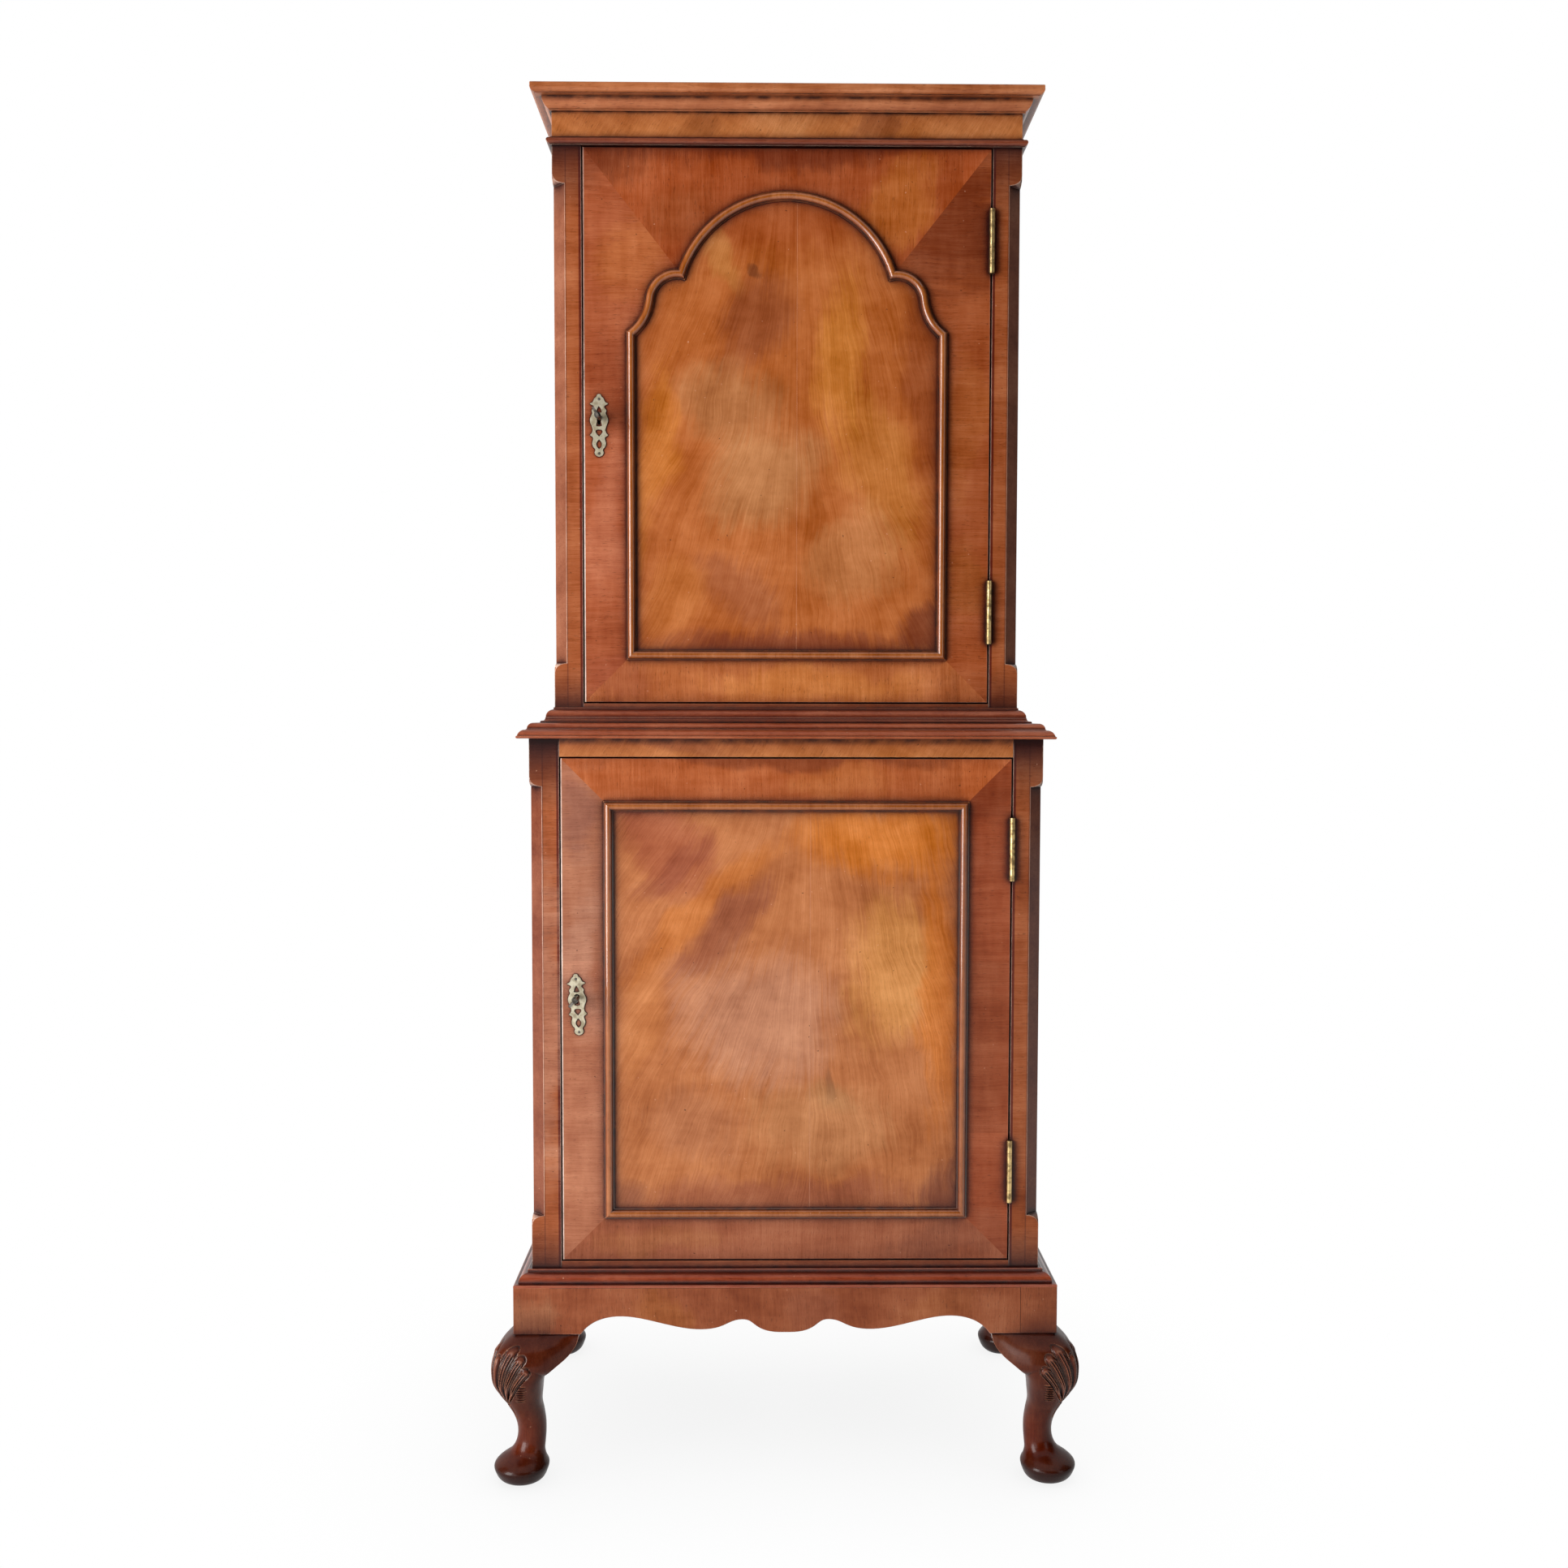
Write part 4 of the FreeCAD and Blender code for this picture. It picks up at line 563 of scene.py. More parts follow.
@dataclass(frozen=True)
class BandingFinish(WoodFinish):
    """Crossbanding: fibres square to the nearest door edge, mitred at the corners, laid in short lengths.

    The door's half width, its ends' heights and the lengths are in metres. The mitres at the head lean by
    head_slope, and a strip at a side has its own patches, so that the mitres show.
    """

    half: float = 0.27
    low: float = 0.26
    high: float = 0.87
    head_slope: float = 1.0
    length: float = 0.21
    left: str = "a15634"
    right: str = "9e532d"
    head: str = "a5532b"
    foot: str = "be7040"
    side_clouds: tuple = ()

    def strips(self, tree: Tree) -> tuple:
        """Finds which strip of banding a point is in.

        Args:
            tree: the material's node tree.
        Returns:
            The point's coordinates, a mask for the side strips, one for the right half and one for the head.
        """
        place = add(tree, "ShaderNodeTexCoord").outputs["Object"]
        parts = add(tree, "ShaderNodeSeparateXYZ", {"Vector": place}).outputs
        out = add(tree, "ShaderNodeMath", {0: parts["X"]}, operation="ABSOLUTE").outputs[0]
        from_side = add(tree, "ShaderNodeMath", {0: self.half, 1: out}, operation="SUBTRACT").outputs[0]
        from_foot = add(tree, "ShaderNodeMath", {0: parts["Z"], 1: self.low},
                        operation="SUBTRACT").outputs[0]
        from_head = add(tree, "ShaderNodeMath", {0: self.high, 1: parts["Z"]},
                        operation="SUBTRACT").outputs[0]
        leaned = add(tree, "ShaderNodeMath", {0: from_head, 1: self.head_slope},
                     operation="MULTIPLY").outputs[0]
        from_end = add(tree, "ShaderNodeMath", {0: from_foot, 1: leaned}, operation="MINIMUM").outputs[0]
        on_side = add(tree, "ShaderNodeMath", {0: from_side, 1: from_end}, operation="LESS_THAN").outputs[0]
        on_right = add(tree, "ShaderNodeMath", {0: parts["X"], 1: 0.0}, operation="GREATER_THAN").outputs[0]
        on_head = add(tree, "ShaderNodeMath", {0: leaned, 1: from_foot}, operation="LESS_THAN").outputs[0]
        return parts, on_side, on_right, on_head

    def base(self, tree: Tree, space: Socket) -> Socket:
        """Tone of each strip, and of each short length in it, with its patches.

        Args:
            tree: the material's node tree.
            space: coordinates with X along the fibres.
        Returns:
            The tone.
        """
        parts, on_side, on_right, on_head = self.strips(tree)
        sides = add(tree, "ShaderNodeMix", {
            "Factor": on_right, "A": linear(self.left), "B": linear(self.right),
        }, data_type="RGBA").outputs["Result"]
        ends = add(tree, "ShaderNodeMix", {
            "Factor": on_head, "A": linear(self.foot), "B": linear(self.head),
        }, data_type="RGBA").outputs["Result"]
        sides = self.clouded(tree, sides, space, self.side_clouds)
        ends = self.clouded(tree, ends, space, self.clouds)
        tone = add(tree, "ShaderNodeMix", {"Factor": on_side, "A": ends, "B": sides},
                   data_type="RGBA").outputs["Result"]
        along = add(tree, "ShaderNodeMix", {
            "Factor": on_side, "A": parts["X"], "B": parts["Z"]}).outputs["Result"]
        lane = add(tree, "ShaderNodeMath", {0: on_side, 1: on_right}, operation="ADD").outputs[0]
        step = add(tree, "ShaderNodeMath", {0: along, 1: 1 / self.length, 2: lane},
                   operation="MULTIPLY_ADD").outputs[0]
        count = add(tree, "ShaderNodeMath", {0: step}, operation="FLOOR").outputs[0]
        chance = add(tree, "ShaderNodeTexWhiteNoise", {"W": count}, noise_dimensions="1D").outputs["Value"]
        length = add(tree, "ShaderNodeValToRGB", {"Fac": chance}, ((0.0, 0.84), (1.0, 1.0))).outputs["Color"]
        return add(tree, "ShaderNodeMix", {"Factor": 1.0, "A": tone, "B": length},
                   data_type="RGBA", blend_type="MULTIPLY").outputs["Result"]

    def banding(self) -> Material:
        """The crossbanded veneer of one door.

        Returns:
            The material.
        """
        made, tree = blank_material(self.name)
        parts, on_side, _, _ = self.strips(tree)
        side_space = add(tree, "ShaderNodeCombineXYZ", {"X": parts["X"], "Y": parts["Z"], "Z": parts["Y"]})
        end_space = add(tree, "ShaderNodeCombineXYZ", {"X": parts["Z"], "Y": parts["X"], "Z": parts["Y"]})
        space = add(tree, "ShaderNodeMix", {
            "Factor": on_side, "A": end_space.outputs["Vector"], "B": side_space.outputs["Vector"],
        }, data_type="VECTOR").outputs["Result"]
        # Short fibres wander by up to 6 mm over about 110 mm.
        colour, fibre = self.figure(tree, self.bent(tree, space, 9.0, (0.0, 0.012, 0.0)))
        self.shade(tree, *self.aged(tree, colour), fibre)
        return made


@dataclass(frozen=True)
class FieldFinish(WoodFinish):
    """Figured veneer in two leaves: fibres fan towards the seam, with clouds of light and dark figure.

    The seam's place and the field's ends are in metres, and the leans are slopes of the fibres there.
    """

    seam: float = 0.0
    low: float = 0.3
    high: float = 0.8
    lean_low: float = 0.4
    lean_high: float = 0.7
    right_share: float = 0.5
    upright_reach: float = 0.025

    def fan_space(self, tree: Tree) -> Socket:
        """Coordinates mirrored at the seam, with X along fibres that lean over as they rise.

        Args:
            tree: the material's node tree.
        Returns:
            The coordinate socket.
        """
        place = add(tree, "ShaderNodeTexCoord").outputs["Object"]
        parts = add(tree, "ShaderNodeSeparateXYZ", {"Vector": place}).outputs
        from_seam = add(tree, "ShaderNodeMath", {0: parts["X"], 1: self.seam},
                        operation="SUBTRACT").outputs[0]
        out = add(tree, "ShaderNodeMath", {0: from_seam}, operation="ABSOLUTE").outputs[0]
        rise = add(tree, "ShaderNodeMapRange", {
            "Value": parts["Z"], "From Min": self.low, "From Max": self.high}).outputs["Result"]
        height = self.high - self.low
        gain = (self.lean_high - self.lean_low) / 2 * height
        bend = add(tree, "ShaderNodeMath", {0: rise, 1: gain, 2: self.lean_low * height},
                   operation="MULTIPLY_ADD").outputs[0]
        lean = add(tree, "ShaderNodeMath", {0: bend, 1: rise}, operation="MULTIPLY").outputs[0]
        # Fibres stand upright at the seam and lean more the further out they are.
        reach = add(tree, "ShaderNodeMath", {0: out, 1: self.upright_reach}, operation="ADD").outputs[0]
        share = add(tree, "ShaderNodeMath", {0: out, 1: reach}, operation="DIVIDE").outputs[0]
        # The leaves were cut a little apart: the right one leans less, and their marks differ.
        leaf = add(tree, "ShaderNodeMath", {0: from_seam, 1: 0.0}, operation="GREATER_THAN").outputs[0]
        hand = add(tree, "ShaderNodeMapRange", {"Value": leaf, "To Min": 1.0, "To Max": self.right_share})
        turned = add(tree, "ShaderNodeMath", {0: lean, 1: hand.outputs["Result"]},
                     operation="MULTIPLY").outputs[0]
        across = add(tree, "ShaderNodeMath", {0: turned, 1: share, 2: out},
                     operation="MULTIPLY_ADD").outputs[0]
        space = add(tree, "ShaderNodeCombineXYZ", {"X": parts["Z"], "Y": across, "Z": leaf})
        # They swirl by up to 30 mm over about 140 mm.
        return self.bent(tree, space.outputs["Vector"], 7.0, (0.0, 0.06, 0.0))

    def veneer(self) -> Material:
        """The figured veneer of one door.

        Returns:
            The material.
        """
        made, tree = blank_material(self.name)
        colour, fibre = self.figure(tree, self.fan_space(tree))
        self.shade(tree, *self.aged(tree, colour), fibre)
        return made


@dataclass(frozen=True)
class MetalFinish:
    """Old brass or steel: cast and filed, tarnished in patches, brown in the corners."""

    name: str
    bright: str
    dull: str
    roughness: float
    grime_and_shade: str = "1c1410"

    def material(self) -> Material:
        """The metal with tarnish, a faint uneven bump and dirt in the corners.

        Returns:
            The material.
        """
        made, tree = blank_material(self.name)
        place = add(tree, "ShaderNodeTexCoord").outputs["Object"]
        # Tarnish comes in patches about 6 mm across.
        patches = add(tree, "ShaderNodeTexNoise", {
            "Vector": place, "Scale": 160.0, "Detail": 5.0}).outputs["Fac"]
        tarnish = add(tree, "ShaderNodeValToRGB", {"Fac": patches}, (
            (0.38, self.dull), (0.62, self.bright))).outputs["Color"]
        open_sky = add(tree, "ShaderNodeAmbientOcclusion", {"Distance": 3 * MM}, samples=6).outputs["AO"]
        shut = add(tree, "ShaderNodeMapRange", {
            "Value": open_sky, "From Min": 0.85, "From Max": 0.4, "To Min": 0.0, "To Max": 0.85,
        }).outputs["Result"]
        colour = add(tree, "ShaderNodeMix", {"Factor": shut, "A": tarnish, "B": linear(self.grime_and_shade)},
                     data_type="RGBA").outputs["Result"]
        rough = add(tree, "ShaderNodeMapRange", {
            "Value": patches, "From Min": 0.35, "From Max": 0.65,
            "To Min": self.roughness + 0.12, "To Max": self.roughness - 0.06}).outputs["Result"]
        relief = add(tree, "ShaderNodeBump", {"Height": patches, "Strength": 0.15, "Distance": 0.2 * MM})
        surface = add(tree, "ShaderNodeBsdfPrincipled", {
            "Base Color": colour, "Metallic": 1.0, "Roughness": rough, "Normal": relief.outputs["Normal"]})
        add(tree, "ShaderNodeOutputMaterial", {"Surface": surface.outputs["BSDF"]})
        return made


# Walnut boards under old wax: reddish mid brown, satin, paler on the arrises from wear and a painted
# highlight.
CARCASE = WoodFinish("walnut_waxed", "9a542f")
# Posts in crossed walnut veneer: faint level stripes, painted shade on the chamfers and at the ends, pale
# arris lines that are partly wear and partly painted highlight, and a painted sheen down the lower left post.
LOWER_POST = PostFinish(
    "walnut_post_lower", "99542f", half=0.308, width=0.036, streak=0.4, fibre=0.6, chamfer="7d452e",
    wear_and_highlight="e2bfa8", wear_and_highlight_reach=1.7, wear_and_highlight_strength=0.9, coat=0.25, coat_roughness=0.14, specular=0.1,
    clouds=(Cloud(-290, 560, 30, 260, 0, "ad7a62", 0.5),))
UPPER_POST = replace(
    LOWER_POST, name="walnut_post_upper", half=0.2805, width=0.035, low=0.9166, high=1.6124,
    chamfer="8a543c", clouds=())
# Planed walnut cornice: dark wax and painted shade in its hollows, polished on the round, with painted shade
# on both returns.
MOULDING = WoodFinish(
    "walnut_moulding", "a4623a", grime_and_shade_strength=1.0, grime_and_shade_reach=9.0, recess_shade="e6d6d2", mottle=1.2,
    coat=0.3, coat_roughness=0.2, roughness=0.4, specks=0.2,
    clouds=(Cloud(354, 1655, 28, 44, 0, "55291a", 0.85), Cloud(-354, 1655, 28, 44, 0, "6a3a24", 0.7)))
# The bead below the frieze is dark, with a pale line on its lower arris that is partly wear and partly a
# painted highlight.
BEAD = WoodFinish(
    "walnut_bead_dark", "7c4028", grime_and_shade_strength=1.0, grime_and_shade_reach=6.0, coat=0.3, coat_roughness=0.2,
    roughness=0.4, wear_and_highlight="dcb8a2", wear_and_highlight_reach=1.2, wear_and_highlight_strength=0.9, wear_and_highlight_aim=(0.0, 0.0, -1.0))
# The doors' own mouldings are rubbed glossier, so that they catch the window along one slope.
DOOR_MOULDING = WoodFinish(
    "walnut_moulding_door", "98541f", grime_and_shade_strength=1.0, grime_and_shade_reach=9.0, recess_shade="c5acac", coat=0.85,
    coat_roughness=0.1, coat_ior=1.6, roughness=0.4)
# Stained walnut: the stand's moulding is redder and darker, and the waist's a little less so.
STAND_MOULDING = WoodFinish(
    "walnut_moulding_dark", "8a3d20", grime_and_shade_strength=0.95, grime_and_shade_reach=7.0, coat=0.4, coat_roughness=0.16,
    roughness=0.36)
WAIST_MOULDING = replace(STAND_MOULDING, name="walnut_moulding_waist", tone="92492a", grime_and_shade_reach=8.0)
# Carved walnut legs: dark red brown under polish, black in the grooves from wax and painted shade, pale on
# the crests from wear and painted highlight.
LEG = CarvedFinish(
    "walnut_leg_polished", "522412", coat=0.3, coat_roughness=0.2, roughness=0.42, specular=0.05,
    grime_and_shade_strength=0.95, grime_and_shade_reach=4.0, recess_shade="c8b0b0", wear_and_highlight="c47f5a", wear_and_highlight_reach=1.5, wear_and_highlight_strength=0.8,
    mottle=1.2, specks=0.2)
# Sawn walnut apron: blotchy veneer, with a pale line on its scrolled lower arris that is partly wear and
# partly a painted highlight.
APRON = WoodFinish(
    "walnut_apron", "8a4a2a", mottle=1.6, broad=0.5, streak=0.3, wear_and_highlight="d8bcb0", wear_and_highlight_strength=0.9,
    wear_and_highlight_aim=(0.0, 0.0, -1.0),
    clouds=(
        Cloud(-150, 208, 60, 40, 30, "a0602f", 0.5), Cloud(30, 205, 60, 40, 0, "7d4229", 0.6),
        Cloud(190, 205, 70, 40, -20, "9c5c34", 0.5), Cloud(-300, 200, 40, 40, 0, "9b6a4a", 0.5)))
# Burr-like walnut friezes: golden, with soft dark knots and slanting curl.
FRIEZE = WoodFinish(
    "walnut_frieze", "ba7641", broad=0.5, streak=0.3, mottle=0.9, curl=0.4, recess_shade="cdb4b4",
    clouds=(
        Cloud(-108, 1627, 34, 26, 0, "8a5029", 0.5), Cloud(102, 1622, 34, 24, 0, "7a4122", 0.6),
        Cloud(0, 1628, 80, 24, 0, "c08450", 0.6), Cloud(205, 1628, 80, 22, 0, "bb7844", 0.6),
        Cloud(-210, 1628, 60, 22, 0, "ad6b3a", 0.6), Cloud(120, 887, 70, 18, 0, "b87238", 0.6),
        Cloud(-120, 887, 90, 18, 0, "9a5c36", 0.6)))
# Planed oak inside: plain, dry and pale, without polish.
INNER = WoodFinish("oak_dry_inner", "8f6b45", roughness=0.7, coat=0.0, edge_coat=0.0, wear_and_highlight_strength=0.2)
# Crossbanded walnut: short fibres square to the door's edge, each strip and length its own tone. The dark
# patches along the head strips, by the hinges and in the corners are painted shade, the pale pinkish ones
# down the left strips a painted sheen, and the rest figure.
UPPER_BANDING = BandingFinish(
    "walnut_crossbanding_upper", "a15634", streak=0.4, broad=0.5, coat=0.25, coat_roughness=0.14,
    specular=0.1, wear_and_highlight="e2bfa8", wear_and_highlight_strength=0.4, half=0.244, low=0.9415, high=1.601,
    head_slope=117.5 / 149,
    clouds=(
        Cloud(0, 1600, 280, 28, 0, "71321b", 0.75), Cloud(-225, 1590, 70, 45, 0, "5e2a18", 0.6),
        Cloud(125, 1530, 90, 50, -45, "b8692f", 0.75), Cloud(-125, 1520, 60, 60, 30, "8c451f", 0.6),
        Cloud(30, 966, 170, 32, 0, "cf8042", 0.8), Cloud(-215, 966, 60, 34, 0, "91492d", 0.6),
        Cloud(225, 966, 50, 34, 0, "8f4b27", 0.6)),
    side_clouds=(
        Cloud(-235, 1585, 40, 45, 0, "6e341d", 0.6), Cloud(200, 1520, 110, 120, 0, "74361d", 0.8),
        Cloud(-180, 1480, 70, 80, 30, "b3683a", 0.7), Cloud(-216, 1170, 30, 150, 0, "b26c4e", 0.5),
        Cloud(-216, 1330, 34, 70, 0, "8b4427", 0.5), Cloud(216, 1270, 30, 130, 0, "a9602f", 0.5),
        Cloud(216, 1090, 34, 60, 0, "a5602f", 0.5),
        Cloud(-215, 966, 60, 34, 0, "8d452c", 0.55), Cloud(228, 966, 36, 34, 0, "8b4826", 0.5)))
LOWER_BANDING = BandingFinish(
    "walnut_crossbanding_lower", "ab6540", streak=0.4, broad=0.5, coat=0.25, coat_roughness=0.14,
    specular=0.1, wear_and_highlight="e2bfa8", wear_and_highlight_strength=0.4, half=0.2705, low=0.2645, high=0.8745,
    left="a96b4d", right="a05230", head="b46236", foot="a46040",
    clouds=(
        Cloud(0, 874, 310, 16, 0, "7a3a20", 0.6), Cloud(60, 848, 90, 26, 0, "bd6f3a", 0.6),
        Cloud(190, 292, 100, 30, 0, "8a5038", 0.6), Cloud(-150, 290, 100, 28, 0, "ac6c42", 0.6)),
    side_clouds=(
        Cloud(238, 840, 70, 60, 0, "7e3c22", 0.7), Cloud(-250, 810, 28, 80, 0, "85564a", 0.5),
        Cloud(-244, 620, 30, 120, 0, "bf8a70", 0.5), Cloud(242, 560, 34, 180, 0, "98502e", 0.5),
        Cloud(244, 300, 40, 60, 0, "8a4a30", 0.6)))
# Figured walnut in two leaves: a feathered fan with cloudy lights and darks under satin wax.
UPPER_FIELD = FieldFinish(
    "walnut_figured_upper", "a85d2b", broad=0.6, streak=0.5, streak_width=2.4, fibre=0.35, curl=0.2,
    pores=0.5, mottle=1.2, grime_and_shade_reach=14.0,
    seam=0.012, low=0.998, high=1.545, lean_low=0.5, lean_high=0.6, right_share=0.6,
    clouds=(
        Cloud(0, 1530, 190, 80, 0, "994b22", 0.75),
        Cloud(-75, 1468, 60, 26, 60, "b3763c", 0.6),
        Cloud(-45, 1400, 50, 90, 35, "88492a", 0.7),
        Cloud(-70, 1300, 90, 70, 20, "a36d42", 0.65),
        Cloud(60, 1340, 50, 140, 4, "c27a34", 0.7),
        Cloud(175, 1330, 40, 190, -6, "8b4520", 0.75),
        Cloud(-165, 1230, 32, 170, 10, "bb702b", 0.65),
        Cloud(-30, 1210, 100, 70, 0, "b1794b", 0.75),
        Cloud(110, 1220, 60, 130, -14, "bd7838", 0.6),
        Cloud(78, 1115, 80, 60, -30, "bb8555", 0.35),
        Cloud(-58, 1080, 80, 56, 30, "84472c", 0.5),
        Cloud(-140, 1070, 50, 70, 30, "b0682f", 0.5),
        Cloud(0, 1008, 210, 32, 0, "763720", 0.75), Cloud(-31, 1457, 11, 7, 50, "4a2616", 0.5),
        Cloud(165, 1030, 45, 55, 0, "662b18", 0.75),
    ))
LOWER_FIELD = FieldFinish(
    "walnut_figured_lower", "b06c3f", broad=0.6, streak=0.5, streak_width=2.4, fibre=0.35, curl=0.2,
    pores=0.5, mottle=1.2, grime_and_shade_reach=14.0,
    seam=0.029, low=0.322, high=0.817, lean_low=0.3, lean_high=0.9, right_share=0.35,
    clouds=(
        Cloud(-150, 775, 120, 60, 50, "9c5437", 0.75),
        Cloud(-140, 735, 26, 80, 48, "83412b", 0.55),
        Cloud(-100, 690, 24, 170, 48, "bd6f30", 0.65),
        Cloud(-75, 668, 30, 120, 42, "8a4c34", 0.7),
        Cloud(110, 780, 130, 60, 0, "c8742a", 0.85),
        Cloud(-30, 560, 140, 115, 0, "bb8262", 0.85),
        Cloud(130, 620, 80, 130, 0, "ca8a4a", 0.75),
        Cloud(188, 600, 36, 220, 0, "c4702a", 0.75),
        Cloud(-180, 560, 40, 110, 20, "b8723e", 0.6),
        Cloud(52, 462, 40, 30, 20, "8d6c42", 0.3), Cloud(52, 476, 10, 34, 10, "5a3420", 0.45),
        Cloud(40, 430, 120, 70, 0, "bb8658", 0.4),
        Cloud(-110, 430, 80, 60, 30, "b07450", 0.5),
        Cloud(0, 338, 260, 42, 0, "955539", 0.75),
        Cloud(200, 340, 50, 50, 0, "6e3a2a", 0.75), Cloud(-200, 340, 36, 45, 0, "7c4630", 0.6),
    ))
# A pale strip along the latch side: partly polish worn through by hands, partly a painted highlight of the
# window on the arris; its patches dim it near the doors' heads.
RUBBED_AND_LIT = WoodFinish(
    "walnut_rubbed_and_lit_arris", "d6beb0", mottle=1.6, coat=0.5, recess_shade="e8dcd8",
    clouds=(Cloud(-244, 1500, 60, 260, 0, "8c5640", 0.7), Cloud(-270, 830, 60, 90, 0, "a87862", 0.5)))
# Cast brass hinges: yellow and olive brown in patches, with blurred lights.
BRASS = MetalFinish("brass_aged", bright="d2b67e", dull="7d6845", roughness=0.4)
# Sawn brass plates: tarnished to a greyish straw, paler than the polish round them.
PLATE_BRASS = MetalFinish("brass_tarnished_plate", bright="cdc4ac", dull="968b74", roughness=0.45)
# Forged steel keys and locks: grey, worn smooth, with brown in the corners.
STEEL = MetalFinish("steel_key_worn", bright="8b867e", dull="4a4540", roughness=0.38)


# Cabriole leg: share of height, centre in from the apron's faces and half width in millimetres, squareness
LEG_SECTIONS = (
    (0.000, 9.6, 21.5, 2.0), (0.020, 8.6, 27.0, 2.0), (0.060, 8.1, 31.2, 2.0), (0.105, 8.2, 33.0, 2.0),
    (0.140, 9.4, 28.6, 2.0), (0.180, 14.2, 21.2, 2.0), (0.225, 17.4, 18.2, 2.0), (0.290, 19.1, 17.2, 2.0),
    (0.365, 18.6, 17.6, 2.1), (0.445, 15.8, 18.8, 2.3), (0.520, 12.0, 20.6, 2.6), (0.595, 9.4, 24.2, 2.8),
    (0.695, 6.2, 29.7, 3.0), (0.780, 8.0, 33.4, 3.2), (0.845, 9.1, 33.1, 3.2), (0.930, 12.8, 29.3, 3.6),
    (1.000, 21.5, 21.4, 4.0),
)


def smooth_between(rows: Sequence[Sequence[float]], place: float) -> list[float]:
    """Columns of a table read at a place along its first column, on smooth curves.

    Args:
        rows: the table, in order of its first column.
        place: where to read it.
    Returns:
        The other columns' values there.
    """
    last = len(rows) - 1
    step = next((n for n in range(last) if place <= rows[n + 1][0]), last - 1)
    before, low = rows[max(step - 1, 0)], rows[step]
    high, after = rows[step + 1], rows[min(step + 2, last)]
    span = high[0] - low[0]
    share = min(max((place - low[0]) / span, 0.0), 1.0)
    found = []
    for column in range(1, len(low)):
        slope_low = (high[column] - before[column]) / max(high[0] - before[0], 1e-9) * span
        slope_high = (after[column] - low[column]) / max(after[0] - low[0], 1e-9) * span
        cube, square = share ** 3, share ** 2
        found.append(
            (2 * cube - 3 * square + 1) * low[column] + (cube - 2 * square + share) * slope_low
            + (3 * square - 2 * cube) * high[column] + (cube - square) * slope_high)
    return found


def piece_from(bm: bmesh.types.BMesh, name: str, material: Material) -> bpy.types.Object:
    """Turns a finished bmesh into an object at the origin.

    Args:
        bm: the shape, which is freed.
        name: the object's name.
        material: its finish.
    Returns:
        The object.
    """
    mesh = bpy.data.meshes.new(name)
    bm.to_mesh(mesh)
    bm.free()
    made = bpy.data.objects.new(name, mesh)
    bpy.context.scene.collection.objects.link(made)
    mesh.materials.append(material)
    return made


def smooth_faces(bm: bmesh.types.BMesh, limit: float = 35.0) -> None:
    """Shades faces smooth and keeps edges sharper than a limit crisp.

    Args:
        bm: the shape.
        limit: the angle in degrees between two faces that stays crisp.
    """
    for face in bm.faces:
        face.smooth = True
    for edge in bm.edges:
        edge.smooth = edge.calc_face_angle(0.0) < math.radians(limit)


def dress(nodes: Sequence[str], finish: Material, arris: float = 0.0) -> None:
    """Gives plain nodes a finish and, for boards, softened arrises.

    Args:
        nodes: names of the nodes.
        finish: their material.
        arris: radius of the softened arris in millimetres, or 0 to leave it.
    """
    for name in nodes:
        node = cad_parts[name]
        node.data.materials.clear()
        node.data.materials.append(finish)
        if arris > 0:
            # Loose triangles are joined and flat faces made whole, so that only true arrises are left.
            node.modifiers.new("joined", "WELD").merge_threshold = 0.01 * MM
            flat = node.modifiers.new("flat", "DECIMATE")
            flat.decimate_type = "DISSOLVE"
            flat.angle_limit = math.radians(0.6)
            soft = node.modifiers.new("arris", "BEVEL")
            soft.width = arris * MM
            soft.segments = 2
            soft.limit_method = "ANGLE"
            soft.angle_limit = math.radians(38)
            soft.harden_normals = True
        log.info("finished %s", name)


